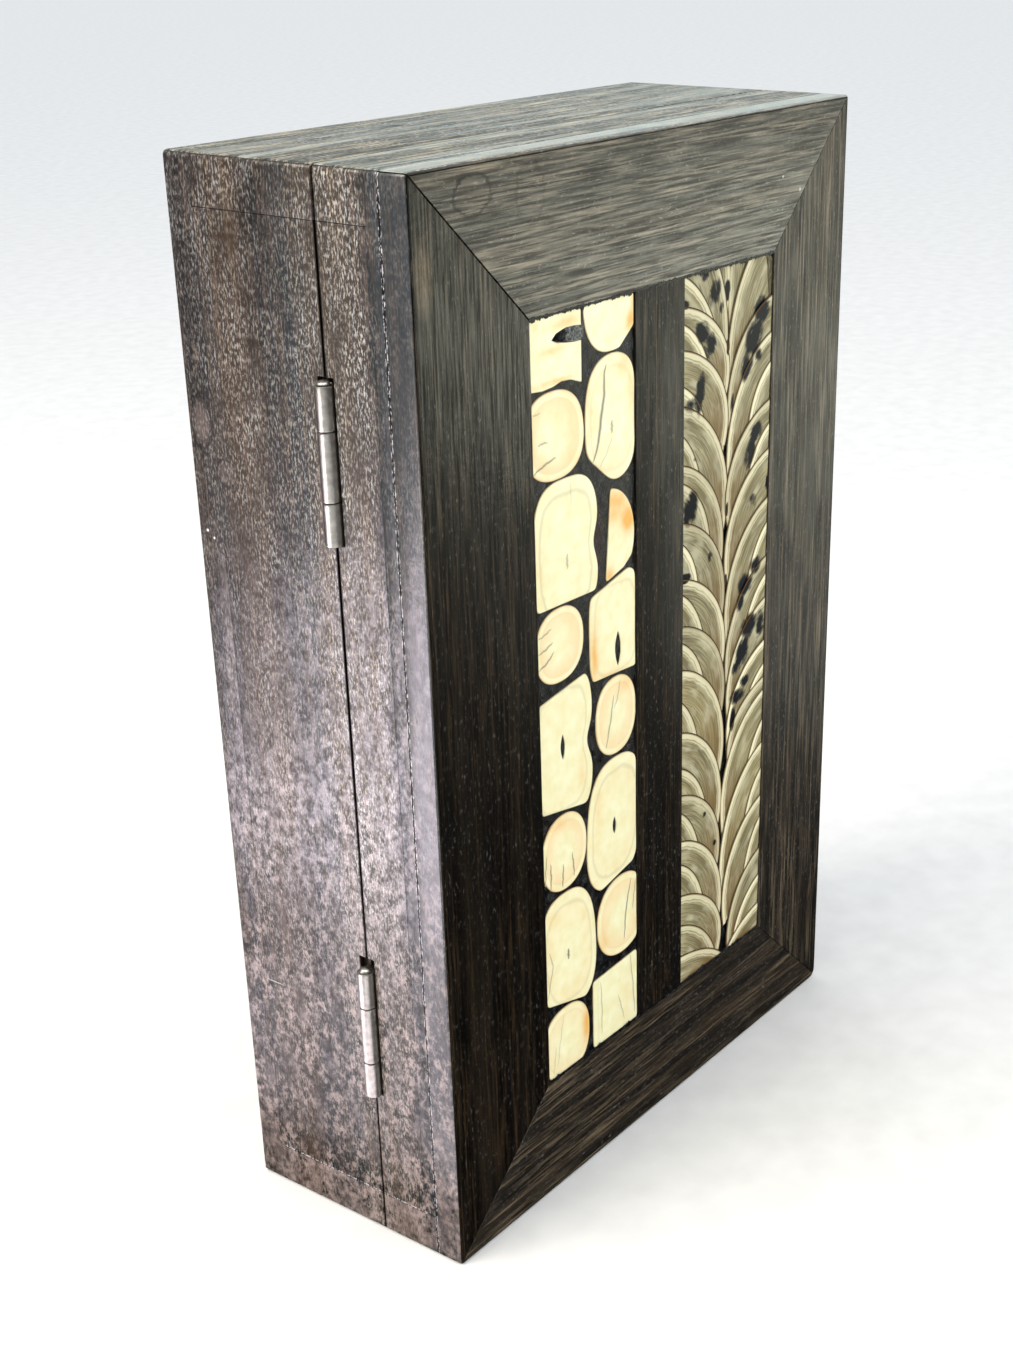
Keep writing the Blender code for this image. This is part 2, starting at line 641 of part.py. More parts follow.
def knuckle(name, low, length, parent):
    """One tube of the barrel, bored for the pin."""
    bore = PIN_RADIUS + FIT
    profile = [(bore, 0.0), (BARREL_RADIUS, 0.0), (BARREL_RADIUS, length), (bore, length)]
    return turned(name, profile, low, parent, None, True)


def knuckle_spans(bottom):
    """The bottom, middle and top knuckle's heights."""
    first = (bottom, bottom + OUTER_KNUCKLE)
    middle = (first[1] + FIT, first[1] + FIT + MIDDLE_KNUCKLE)
    last = (middle[1] + FIT, middle[1] + FIT + OUTER_KNUCKLE)
    return first, middle, last


def leaf(name, bottom, spans, y_span, parent):
    """A hinge leaf: its plate, a tab to each of its knuckles, and the knuckles."""
    plate_start = PIN_X + BARREL_RADIUS + BARREL_CLEARANCE + FIT
    tab_start = PIN_X + (PIN_RADIUS + FIT + BARREL_RADIUS) / 2 - FIT
    plate_end = HINGE_FACE + LEAF_REACH
    top = bottom + HINGE_LENGTH
    outline = [(plate_end, bottom), (plate_end, top)]
    if spans[-1][1] < top - FIT:
        outline.append((plate_start, top))
    for low, high in reversed(spans):
        outline += [(plate_start, high), (tab_start, high), (tab_start, low), (plate_start, low)]
    if spans[0][0] > bottom + FIT:
        outline.append((plate_start, bottom))
    outline = without_doubles(outline)
    piece = prism(name, outline, y_span[0], y_span[1], parent, "nickel")
    for number, (low, high) in enumerate(spans):
        boolean(piece, knuckle(f"{name}_knuckle_{number}", low, high - low, parent), "UNION")


def make_pin(name, bottom, parent):
    """The pin, with a domed head that stands over the top knuckle."""
    top = HINGE_LENGTH + FIT
    profile = [(PIN_RADIUS, FIT), (PIN_RADIUS, top)]
    for degrees in HEAD_DOME:
        angle = math.radians(degrees)
        profile.append((HEAD_RADIUS * math.cos(angle), top + HEAD_HEIGHT * math.sin(angle)))
    turned(name, profile, bottom, parent, "nickel", False)


def cut_for_hinge(name, board, rim_plane, inward, bottom, room_above, parent):
    """Let a hinge into a board: a notch for the barrel, and a mortise for the leaf."""
    reach = BARREL_RADIUS + BARREL_CLEARANCE
    outside = HINGE_FACE - BARREL_RADIUS - PIN_PROUD
    past_rim = rim_plane - inward * SEAM
    notch_y = sorted((past_rim, PIN_Y + inward * reach))
    notch_z = (bottom - FIT, bottom + HINGE_LENGTH + room_above)
    notch = block(f"notch_{name}", (outside, PIN_X + reach), notch_y, notch_z, parent)
    mortise_depth = LEAF_THICK - LEAF_PROUD + FIT
    mortise_y = sorted((past_rim, rim_plane + inward * mortise_depth))
    mortise_z = (bottom - FIT, bottom + HINGE_LENGTH + FIT)
    mortise = block(f"mortise_{name}", (outside, HINGE_FACE + LEAF_REACH + FIT), mortise_y, mortise_z,
                    parent)
    boolean(board, notch, "DIFFERENCE")
    boolean(board, mortise, "DIFFERENCE")


def make_hinge(name, middle, room_above, outer_on_lid, case_board, lid_board, lid):
    """A three-knuckle butt hinge: a leaf in the lid's rim, a leaf in the case's, and the pin."""
    bottom = middle - HINGE_LENGTH / 2
    first, centre, last = knuckle_spans(bottom)
    outer, inner = [first, last], [centre]
    lid_spans, case_spans = (outer, inner) if outer_on_lid else (inner, outer)
    lid_y = (LID_RIM_BACK + LEAF_PROUD - LEAF_THICK, LID_RIM_BACK + LEAF_PROUD)
    case_y = (CASE_FRONT - LEAF_PROUD, CASE_FRONT - LEAF_PROUD + LEAF_THICK)
    leaf(f"{name}_hinge_lid_leaf", bottom, lid_spans, lid_y, lid)
    leaf(f"{name}_hinge_case_leaf", bottom, case_spans, case_y, None)
    make_pin(f"{name}_hinge_pin", bottom, None)
    cut_for_hinge(f"{name}_case", case_board, CASE_FRONT, 1, bottom, room_above, None)
    cut_for_hinge(f"{name}_lid", lid_board, LID_RIM_BACK, -1, bottom, room_above, lid)


def make_lid_pivot():
    """The empty that carries the lid, on the hinge pins' axis."""
    pivot = bpy.data.objects.new("lid_pivot", None)
    pivot.location = (PIN_X, PIN_Y, 0.0)
    bpy.context.scene.collection.objects.link(pivot)
    return pivot


clear_scene()
MATERIALS = make_materials()
lid_pivot = make_lid_pivot()
case_boards = make_case()
lid_boards = make_lid(lid_pivot)
hinge_boards = (case_boards["hinge_side_board"], lid_boards["hinge_side_board"])
make_hinge("upper", HEIGHT - UPPER_HINGE_DOWN, UPPER_NOTCH_ROOM, True, *hinge_boards, lid_pivot)
make_hinge("lower", LOWER_HINGE_UP, LOWER_NOTCH_ROOM, False, *hinge_boards, lid_pivot)
bpy.context.view_layer.update()
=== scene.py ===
"""Cigar humidor: the looks of a standing lacquered palm wood case with two inlays in its lid.

Eased boards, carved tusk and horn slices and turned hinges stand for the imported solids, each where
its solid is. Metres, +Z up, the lid faces -Y.
"""
import math
from collections import namedtuple
from functools import cache, partial

import bmesh
import bpy
import numpy as np
from mathutils import Matrix, Vector


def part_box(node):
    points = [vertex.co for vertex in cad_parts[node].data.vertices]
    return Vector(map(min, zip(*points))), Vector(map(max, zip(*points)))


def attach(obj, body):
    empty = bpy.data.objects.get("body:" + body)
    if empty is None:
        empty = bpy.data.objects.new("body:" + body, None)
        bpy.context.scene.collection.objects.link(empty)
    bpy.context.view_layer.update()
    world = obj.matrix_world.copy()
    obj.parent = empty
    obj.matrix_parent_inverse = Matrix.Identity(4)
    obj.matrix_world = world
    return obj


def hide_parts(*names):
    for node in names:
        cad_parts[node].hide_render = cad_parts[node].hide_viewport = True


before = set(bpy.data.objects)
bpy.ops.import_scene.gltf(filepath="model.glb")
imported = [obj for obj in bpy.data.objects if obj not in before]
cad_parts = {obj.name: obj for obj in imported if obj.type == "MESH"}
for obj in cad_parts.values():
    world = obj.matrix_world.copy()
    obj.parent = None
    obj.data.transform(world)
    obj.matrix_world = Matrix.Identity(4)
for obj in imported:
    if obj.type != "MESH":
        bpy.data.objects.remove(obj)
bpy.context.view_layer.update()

bl_info = {
    "name": "Cigar Humidor",
    "version": (1, 0, 0),
    "blender": (4, 5, 0),
    "location": "3D View > Sidebar > Humidor",
    "description": "Dresses the packed solids of a cigar humidor with its wood, inlays and hinges",
    "category": "Object",
}

MM = 0.001
FIT = 0.3 * MM

# Where the solids put the box, its frame and its two panels
CASE_LOW, CASE_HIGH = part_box("case_floor_board")
HINGE_FACE, OPENING_FACE = CASE_LOW.x, CASE_HIGH.x
BACK, HEIGHT = CASE_HIGH.y, CASE_HIGH.z
FRONT, FRAME_BACK = (corner.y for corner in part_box("frame_divider"))
END_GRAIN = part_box("case_bottom_end_board")[1].z
BED_LOW, BED_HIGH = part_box("resin_bed_hinge_side")
FEATHER_LOW, FEATHER_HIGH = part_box("resin_bed_opening_side")
PANEL_LOW, PANEL_HIGH = BED_LOW.z - FIT, BED_HIGH.z + FIT
TUSK_LEFT, TUSK_RIGHT = BED_LOW.x - FIT, BED_HIGH.x + FIT
HORN_LEFT, HORN_RIGHT = FEATHER_LOW.x - FIT, FEATHER_HIGH.x + FIT
SLICE_FACE, SLICE_BACK = FRONT + 0.5 * MM, FRONT + 4.5 * MM
CORNER_RADII = (1.5 * MM, 4.0 * MM, 1.5 * MM, 1.8 * MM)
PIN_X, PIN_Y = HINGE_FACE - 1.0 * MM, -13.0 * MM
# A board's face is on the box's outside where it looks out this squarely and lies this near to it
SQUARE_ON, SKIN = 0.7, 1.2 * MM
# The hinges: their knuckles' heights, where a leaf's plate and its knuckles' tabs begin, each body's
# leaf from front to back, the radii of bore, barrel and pin, and the dome's radius and rise
OUTER_KNUCKLE, MIDDLE_KNUCKLE = 14.0 * MM, 22.2 * MM
PLATE_X, TAB_X = PIN_X + 3.75 * MM, PIN_X + 2.25 * MM
LEAF_SPANS = {"lid": (-14.4 * MM, -13.2 * MM), "case": (-12.8 * MM, -11.6 * MM)}
BORE, BARREL, PIN, DOME, DOME_RISE = 1.5 * MM, 3.0 * MM, 1.2 * MM, 2.3 * MM, 1.3 * MM
# Where the horn slices' faces start and where the resin under them lies
HORN_FACE, HORN_BED = FRONT + 0.32 * MM, FRONT + 1.9 * MM

# From here on panel places are in millimetres, across from its hinge side and up from its bottom
PANEL_WIDE, PANEL_TALL = (TUSK_RIGHT - TUSK_LEFT) / MM, (PANEL_HIGH - PANEL_LOW) / MM
MARGIN = FIT / MM

# A tusk slice: its middle, half sizes and squareness, how strong its peach rim and grey growth ring
# are, its lean, its hollow (depth, height), saw lines that keep what is to their left, its slit
# (middle, half sizes), how soft its corners are, its stains (across, up, radius across, radius up,
# strength) and its hairline cracks (width, how dark, then points across and up in turn)
TuskSlice = namedtuple("TuskSlice", "name across up half_width half_height square peach ring lean waist "
                       "cuts slit soft stains cracks", defaults=(0, None, (), None, 1.2, (), ()))
TUSK_SLICES = (
    TuskSlice("a1", 14, 281.7, 26, 23, 10, 0, 0, stains=((19, 278.4, 7, 2, 0.6),
        (12.5, 270.4, 7, 1.6, 0.45), (3, 279, 2, 2.5, 0.25), (13, 260.4, 12, 1.1, 0.6))),
    TuskSlice("a2", 12, 242.8, 16, 14.9, 2.4, 1, 0.2, lean=-0.06, stains=((17.5, 247.5, 6.5, 7, 0.2),
        (20, 238, 3, 8, 0.15)), cracks=((0.35, 0.5, (0.6, 251.7, 2.8, 251.6, 5, 252)),
        (0.45, 0.6, (3, 241.4, 6, 241.7, 8.3, 241.5)),
        (0.55, 0.8, (0.6, 232.3, 4.5, 233.8, 9, 235, 12.5, 235.6)))),
    TuskSlice("a3", 17.3, 201.7, 18.1, 25.9, 3.2, 0.12, 0.9, waist=(2.8, 201.5), cuts=(((0, 184.6),
        (31, 183.9)),), stains=((3, 200, 2, 10, 0.15),),
        cracks=((0.7, 0.55, (17.4, 201.5, 17.2, 198.6, 17.5, 196)),
        (0.3, 0.25, (20.2, 226, 20, 222, 20.3, 218)))),
    TuskSlice("a4", 12.5, 170.2, 13.5, 13.5, 2.3, 0.8, 0.2, stains=((18, 172, 4, 6, 0.18),),
        cracks=((0.4, 0.6, (0.6, 175.6, 4, 176.2, 8, 177.6)),
        (0.45, 0.7, (0.6, 170.2, 4.5, 170.9, 8.5, 172.6)),
        (0.5, 0.75, (0.6, 164.4, 5, 165.9, 9, 168.8)))),
    TuskSlice("a5", 12.8, 130.7, 17.6, 28, 4, 0.15, 0.7, waist=(3.2, 129.7), cuts=(((24.8, 155.2),
        (0.3, 151.5)), ((0, 109.9), (24, 105.7))), slit=(12.8, 132.2, 1.1, 4.6),
        stains=((24, 118, 2.5, 6, 0.2),)),
    TuskSlice("a6", 12.6, 91.3, 13.2, 15, 2.2, 0.8, 0.1, stains=((8, 103.5, 8, 2.2, 0.3),),
        cracks=((0.4, 0.7, (1.2, 82, 1.4, 88, 2.2, 94)), (0.5, 0.8, (4, 79, 4.4, 84, 4.2, 90)),
        (0.5, 0.8, (11, 77.4, 11.2, 81.5, 11.6, 87)), (0.5, 0.75, (18, 79.4, 17.6, 84, 16.8, 89.5)))),
    TuskSlice("a7", 14, 49.7, 16.6, 25.3, 2.7, 0.35, 0.6, lean=-0.05, cuts=(((0, 32.2), (24.5, 25.8)),),
        stains=((4, 68, 3, 3, 0.2),), cracks=((0.4, 0.5, (2, 54.7, 4.3, 48.7, 0.9, 35.7)),
        (0.8, 0.9, (13.4, 51.5, 13.3, 49.2, 13.5, 46.9)))),
    TuskSlice("a8", 11.5, 12.5, 14.2, 15.2, 2.4, 0.5, 0.2, stains=((24, 14, 2.4, 10, 0.7),),
        cracks=((0.3, 0.35, (10, 25.7, 7, 12.7, 5.5, 4)), (0.3, 0.35, (5, 13.7, 3, 1.7)))),
    TuskSlice("b1", 44, 283.7, 15.5, 19.2, 2.4, 0.1, 0.35, cuts=(((49, 265.2), (56.5, 271)),),
        stains=((54.8, 272.5, 2.8, 3.4, 0.9), (55.8, 279, 1.4, 5, 0.4))),
    TuskSlice("b2", 44, 241.9, 15.2, 22, 2.6, 0.4, 0.4, cuts=(((27.5, 233), (43, 220.8)),), soft=5,
        stains=((52, 259.5, 6, 3, 0.45), (54.5, 250, 2.2, 7, 0.3), (31, 247, 1.6, 9, 0.25)),
        cracks=((0.8, 0.75, (43.4, 241.4, 43.5, 239.2, 43.4, 236.9)),
        (0.95, 0.95, (40.7, 261.2, 39.6, 257.5, 39.2, 250.7, 37, 241, 35, 232.7, 32.5, 228.7)),
        (0.3, 0.3, (44, 236, 40, 230, 36.5, 226.5)))),
    TuskSlice("b3", 41.5, 199.5, 15, 18.2, 2, 0, 0.25, cuts=(((42.5, 217.9), (39.3, 184.7)),
        ((39.3, 184.7), (50, 187.5)), ((50, 187.5), (56.3, 192))), stains=((46, 211.5, 7.5, 6.5, 0.75),
        (52.5, 204, 3.6, 4.6, 1), (41.5, 187, 2.6, 2.8, 0.85), (56.5, 205, 1.2, 4, 0.6))),
    TuskSlice("b4", 44.5, 166.7, 15.2, 20.5, 4, 0.2, 0.55, cuts=(((54, 187.2), (31, 181.7)), ((30, 150.2),
        (56.5, 148.6))), slit=(46, 158.3, 1.6, 6.5), stains=((32, 160, 2.2, 9, 0.75),
        (40, 150, 9, 1.6, 0.35))),
    TuskSlice("b5", 44.5, 133.2, 12.3, 15, 2.3, 0.8, 0.15, stains=((51, 144, 4, 3, 0.4),),
        cracks=((0.45, 0.75, (43, 141.7, 41.4, 133.7, 38, 121.7)),
        (0.35, 0.5, (47, 146, 45.5, 140, 43, 136)))),
    TuskSlice("b6", 43.2, 91, 17, 26, 2.7, 0.3, 0.7, lean=0.07, cuts=(((32, 65.4), (56.8, 70.7)),),
        slit=(42.8, 89.7, 0.9, 3.2), stains=((33, 101, 2.4, 8, 0.15),)),
    TuskSlice("b7", 47, 50.7, 15.6, 16.6, 2.2, 0.8, 0.1, stains=((35, 42, 3, 6, 0.35),),
        cracks=((0.5, 0.85, (53, 63.7, 49.6, 52, 49, 46.7, 48.2, 38.7)),
        (0.4, 0.6, (56, 61.7, 54.6, 55, 54, 49.7)))),
    TuskSlice("b8", 44, 13.7, 15.9, 24, 6, 0, 0.3, cuts=(((56.8, 31), (28.3, 29.5)),),
        stains=((50, 12, 4, 9, 0.12),), cracks=((0.4, 0.6, (52, 30.7, 53.8, 17, 55, 2.7)),
        (0.35, 0.5, (44, 16.7, 46.4, 9, 48, 3.7)), (0.4, 0.45, (33, 28, 33.6, 14, 33.2, 4)))),
)
# How far a hollow spreads up and down
WAIST_SPREAD = 6.5
# The top slice: its outside from over the slot round to under it, then the slot's own edge
BLOCK_EDGE = ((27.3, 276), (27.3, 281.9), (14, 281.9), (0.3, 281.9), (0.3, 270), (0.4, 259), (6.5, 258.4),
    (11.5, 258.7), (16.5, 259.7), (21.5, 259.3), (27.2, 257.4), (27.3, 271.2))
SLOT_EDGE = ((27.3, 276), (23.5, 276.4), (19.4, 276.6), (14, 275.6), (11.5, 273.9), (14.5, 272.7),
    (19.4, 271.9), (23.5, 271.4), (27.3, 271.2))

# The horn slices from the top down: where a rim starts at the panel's side, how far over it
# reaches and how far it drops, then how warm and how pale the slice is, 0 to 1
Rim = namedtuple("Rim", "start reach drop warm pale")
HINGE_SIDE_ROW = (
    (323.7, 30, 49, 0.3, 0.5), (301.2, 29, 46.5, 0.3, 0.35), (282.2, 28.5, 57, 0.5, 0.6),
    (271.7, 30, 28, 0.4, 0.55), (265.7, 19.5, 32, 0.5, 0.8), (256.5, 29.5, 30.8, 0.5, 0.6),
    (243.7, 16.5, 26, 0.4, 0.8), (236.5, 30, 40.4, 0.4, 0.5), (225.8, 14.5, 35.5, 0.6, 0.5),
    (215.2, 27.5, 37, 0.5, 0.3), (208.6, 19.5, 32, 0.4, 0.4), (193.7, 29, 35.6, 0.3, 0.1),
    (185.7, 11.5, 24, 0.4, 0.8), (172.2, 29.8, 35, 0.35, 0.55), (166.2, 17.5, 35.6, 0.5, 0.6),
    (153.7, 30, 35, 0.4, 0.1), (147.2, 17.5, 32, 0.5, 0.55), (136.3, 30, 40.5, 0.8, 0.5),
    (123.2, 14, 35, 0.7, 0.5), (110.7, 28.8, 39, 0.45, 0.5), (95.7, 19.5, 33, 0.6, 0.5),
    (84.2, 28, 33.6, 0.4, 0.25), (76.7, 15, 33, 0.5, 0.5), (64.4, 30, 38.5, 0.5, 0.5),
    (54.2, 18.5, 34, 0.5, 0.55), (40.1, 30, 29.9, 0.5, 0.45), (26.7, 28, 37.4, 0.5, 0.4),
    (12.6, 35.5, 24.3, 0.6, 0.5),
)
OPENING_SIDE_ROW = (
    (323.7, 27.5, 52, 0.4, 0.3), (293.4, 27.5, 46.4, 0.4, 0.5), (266.7, 27.5, 36, 0.4, 0.4),
    (253.2, 27.3, 42, 0.4, 0.7), (242.3, 14.5, 26, 0.4, 0.9), (227.7, 28, 33, 0.4, 0.4),
    (218.7, 15, 26.7, 0.4, 0.9), (208.7, 28.1, 37, 0.5, 0.6), (189.4, 27.5, 41, 0.45, 0.45),
    (179.7, 14, 31.5, 0.6, 0.95), (165.7, 26.5, 37, 0.4, 0.4), (158.7, 16, 31, 0.6, 0.9),
    (148.7, 25.5, 35, 0.3, 0.6), (130.7, 25, 32, 0.5, 0.95), (120.7, 13, 20, 0.6, 1),
    (114.7, 24.5, 24, 0.5, 0.5), (109.2, 28.1, 42, 0.6, 0.7), (96.4, 12.5, 31, 0.6, 0.9),
    (86.2, 28.1, 47, 0.85, 0.75), (74.7, 12, 26, 0.8, 0.8), (62.1, 26, 38.7, 0.5, 0.7),
    (52.7, 12, 30, 0.6, 0.8), (37.7, 23, 33, 0.3, 0.35), (25.4, 19.5, 29.4, 0.6, 0.9),
    (11.7, 27, 23, 0.5, 0.8),
)
# How many slices each node holds, from the top down
HORN_ROWS = {"hinge_side": (HINGE_SIDE_ROW, (2, 3, 4, 4, 4, 4, 4, 3)),
             "opening_side": (OPENING_SIDE_ROW, (3, 4, 3, 3, 3, 4, 3, 2))}
# A crescent's ellipse has its middle this far outside the panel, one with a long reach laps over the
# spine, and its tip lies a little past its widest point, in radians. Then the spine's place, how far
# a slice may go over it, and the width of both rows
RIM_LEAD, LONG_REACH, SPINE_LAP, TIP_ANGLE = 11.0, 24.0, 1.0, -0.30
HORN_SPINE, SPINE_ROOM, HORN_WIDTH = 30.0, 1.2, 58.5
# Dark mottling in the horn: across and up, two radii, tilt in degrees, strength
MOTTLES = (
    (13.5, 281, 2.6, 2.6, 0, 1), (20.5, 273.5, 3.4, 4.6, -20, 1), (25, 267, 1.6, 4, -15, 0.7),
    (12, 261, 4.4, 3.4, -30, 1.2), (17.5, 255.5, 3.6, 4, -30, 1.2), (11, 239, 2.6, 6.5, -8, 1.3),
    (6, 236, 5, 3, 0, 0.8), (5.5, 198, 4, 6, -20, 1.3), (19, 176.2, 1.6, 2.2, 0, 0.8),
    (52, 262, 5, 5, 30, 1.1), (46.5, 253, 4.4, 6.5, -35, 1.4), (42, 243, 3.6, 5, -25, 1),
    (50, 246, 2.6, 2.6, 0, 0.7), (49, 217, 4.4, 3.4, 30, 1.2), (45.5, 209.5, 3, 5.4, -25, 1.2),
    (48.5, 190.8, 2.6, 2, 0, 0.9), (51, 164, 4, 3, 25, 1), (44, 158, 4.4, 4, 25, 1.1),
    (40.5, 151, 2.4, 4, -20, 0.9), (47, 140, 5, 4, 40, 1.4), (42.5, 130, 3.6, 5.4, -30, 1.5),
    (38, 125, 2.2, 3.4, -20, 1.1), (55, 138, 3, 6, 0, 0.9), (40, 112.5, 4.6, 3, 0, 1.1),
    (44.5, 117.5, 3, 2.6, 0, 0.9), (17, 69.5, 1.4, 1.4, 0, 0.8), (25, 53.7, 1.4, 1.4, 0, 0.8),
    (36.6, 104, 1.6, 4.6, -10, 1.2), (8, 216, 1.6, 1.2, 0, 0.7), (29.3, 273, 1.3, 2.8, 0, 3),
    (29.6, 252.5, 1, 2, 0, 3), (0.6, 272.3, 2.2, 1.1, 0, 3), (1.4, 172.1, 3, 1.3, 0, 3),
    (30.6, 191.5, 0.7, 2.2, 0, 2.4), (30.8, 162, 0.8, 3, 0, 2.4), (58, 195, 0.9, 2, 0, 2.2),
    (33, 231, 1.2, 4, -8, 0.8),
)

# A board's wood: its material's name, its grain's axis, the ground's three tones, the streaks' tone
# and strength, where the fibre dashes' noise sets in and their strength, its lacquer's coat and
# roughness, how many times coarser than WOOD_PATTERNS it is drawn, and its specular level
WoodLook = namedtuple("WoodLook", "name grain ground streak streaks sets_in flecks coat rough coarse "
                      "specular")
WOOD_LOOKS = {
    "stile_dark": WoodLook("stile_dark", "Z", "black dark mid", "streak_brown", 0.65, 0.58, 0.16, 0.38,
        0.36, 1.7, 0.12),
    "divider": WoodLook("divider", "Z", "black dark dark", "streak_brown", 0.8, 0.58, 0.22, 0.12, 0.44,
        1.7, 0.22),
    "stile_light": WoodLook("stile_light", "Z", "dark mid brown", "streak", 0.8, 0.58, 0.28, 0.14, 0.48,
        1.6, 0.36),
    "rail": WoodLook("rail", "X", "dark mid brown", "streak", 1, 0.58, 0.28, 0.52, 0.44, 1.7, 0.45),
    # The top: a painted overhead reflection, as a pale blue-grey ground with the grain's streaks drawn pale
    # in it
    "top": WoodLook("top_worn", "X", "slate_dark slate slate_light", "streak_pale", 1, 0.5, 0.85, 0.2,
        0.5, 1.1, 0.3),
    # The frame's top edge: a painted highlight, paler still than the top
    "top_edge": WoodLook("top_edge_worn", "X", "slate slate_light slate_light", "streak_pale", 1, 0.46, 1,
        0.5, 0.45, 0.7, 0.6),
    "wall": WoodLook("wall_upright", "Z", "dark mid brown", "streak_wall", 0.7, 0.49, 1.1875, 0.62, 0.4,
        1.15, 0.25),
    "inside": WoodLook("inside_plain", "Z", "dark mid brown", "streak", 0.6, 0.56, 0.3, 0.18, 0.5, 1.3,
        0.45),
    "inside_cross": WoodLook("inside_crosswise", "X", "dark mid brown", "streak", 0.6, 0.56, 0.3, 0.18,
        0.5, 1.3, 0.45),
}
# Sizes across and along the grain in millimetres, then noise detail and roughness: growth bands,
# strips of bundles, single bundles, fibre dashes, patches of lacquer and craters dried into it
WOOD_PATTERNS = {
    "bands": (6.0, 170.0, 3.0, 0.55), "strips": (2.4, 60.0, 2.0, 0.5), "streaks": (0.55, 16.0, 4.0, 0.62),
    "flecks": (0.62, 1.7, 3.0, 0.6), "patches": (7.0, 15.0, 5.0, 0.65), "craters": (2.5, 3.3, 5.0, 0.72),
}
# The outer walls' upright columns: millimetres from the front, tone, strength of the dashes there.
# A ramp holds no more than 1, so the strengths go in at 0.8, and the wall's dashes make up for it
COLUMNS = (
    (0, "col_slate", 0.16), (9.5, "col_slate", 0.2), (12, "col_slate", 0.26), (16.5, "col_blue", 0.42),
    (20, "col_brown", 1.1), (28, "col_tan", 1), (34, "col_tan", 1.2), (41, "col_tan", 1.15),
    (50, "col_blue", 0.6), (62, "col_night", 0.5), (70, "col_umber", 0.75), (77, "col_umber", 0.7),
    (86, "col_grey", 0.6), (94, "col_night", 0.4), (99.2, "col_grey", 0.5),
)
# Marks in the lacquer: the look they are in, middle and half sizes in millimetres (across from the
# frame's middle, on the walls from the front), how dark the rim is, how pale the inside is, its tone
Mark = namedtuple("Mark", "look across up half_width half_height rim inside tone")
MARKS = (
    ("rail", -96, 371.6, 8.6, 5.8, 0.9, 0.25, "streak"),
    ("rail", -68.5, 368.5, 7, 9, 0.45, 0, "streak"),
    ("rail", 91.2, 350.6, 0.9, 0.8, 0, 1.6, "fleck"),
    ("rail", 79, 356.5, 0.8, 0.6, 0, 1.2, "fleck"),
    ("stile_dark", -119.5, 351, 5, 13, 0, 0.8, "streak"),
    ("stile_dark", -112, 353, 3, 5, 0.4, 0, "streak"),
    ("wall", 93.5, 296.5, 4.6, 8.5, 0.9, 0.3, "crater"),
    ("wall", 84, 281, 4.4, 4.4, 0.6, 0.2, "crater"),
    ("wall", 95.7, 259.7, 0.7, 0.6, 0, 2, "fleck_white"),
    ("wall", 92.9, 257.5, 0.5, 0.5, 0, 2, "fleck_white"),
    ("wall", 83.5, 90, 5, 0.3, 0, 1.4, "fleck"),
)

# Studio lights: place, size, watts, colour, aim (straight up where none), who sees them. The cards
# are there for reflections alone: the lacquer and the nickel mirror bright ground in the photo
Lamp = namedtuple("Lamp", "name place size watts colour aim diffuse glossy", defaults=(None, False, True))
LAMPS = (
    Lamp("key_softbox", (-1.0, 0.35, 1.25), (0.9, 0.9), 20.0, "#fff6ea", (0, 0, 0.15), True),
    Lamp("front_fill", (0.1, -1.8, 1.1), (1.4, 1.2), 10.0, "#fffdf6", (0, 0, 0.2), True, False),
    Lamp("low_card_hinge_side", (-0.40, 0.19, 0.004), (0.22, 0.28), 1.65, "#f5e9f4"),
    Lamp("far_card_hinge_side", (-0.67, 0.29, 0.004), (0.32, 0.40), 3.9, "#f5eaf6"),
    Lamp("near_card_hinge_side", (-0.22, 0.03, 0.004), (0.14, 0.26), 0.33, "#f5e9f2"),
    Lamp("barrel_card", (-1.16, 0.18, 0.004), (0.60, 0.50), 8.0, "#fffaf4"),
    Lamp("dome_card", (-0.6, -0.75, 1.8), (1.2, 1.2), 22.0, "#ffffff", (-0.12, 0.0, 0.3)),
    Lamp("corner_card", (-0.80, -0.47, 0.004), (1.22, 0.72), 4.2, "#ffffff"),
    Lamp("low_card_front", (1.75, -1.15, 0.004), (2.1, 1.5), 38.0, "#eef0dc"),
    Lamp("near_card_front", (0.565, -0.28, 0.004), (0.41, 0.26), 0.44, "#eef0e2"),
    Lamp("far_card_back", (1.6, 1.3, 0.62), (1.6, 0.5), 2.75, "#dcece9", (0.0, 0.0, 0.381)),
    Lamp("edge_card", (1.6, -0.6, 1.1), (0.7, 0.7), 9.0, "#f6faee", (0.0, 0.0, 0.3)),
)
# The camera: its place in millimetres, its turns in degrees, the frame's size, the focal length and
# the middle of the view in the frame's pixels, and the sensor's width in millimetres
CAMERA_PLACE = (-542.35, -424.9, 454.5)
CAMERA_YAW, CAMERA_PITCH, CAMERA_ROLL = (math.radians(turn) for turn in (53.70, 24.43, -0.64))
FRAME_SIZE, FOCAL, FRAME_MIDDLE = (1013, 1350), 1930, (609.1, 758.0)
SENSOR = 36.0


def linear(code):
    """Red, green and blue as linear values from an sRGB hex code such as "#a1b2c3"."""
    srgb = [int(code[i:i + 2], 16) / 255 for i in (1, 3, 5)]
    return tuple(v / 12.92 if v <= 0.04045 else ((v + 0.055) / 1.055) ** 2.4 for v in srgb)


# Meshes

def grid_faces(rows, columns, around=True, across=False):
    """The four-sided faces of a grid of points, which may close around a row or across the rows."""
    row = np.arange(rows if across else rows - 1)[:, None]
    column = np.arange(columns if around else columns - 1)[None, :]
    after_row, after_column = (row + 1) % rows, (column + 1) % columns
    corners = (row * columns + column, row * columns + after_column,
               after_row * columns + after_column, after_row * columns + column)
    return np.stack(np.broadcast_arrays(*corners), axis=-1).reshape(-1, 4).tolist()


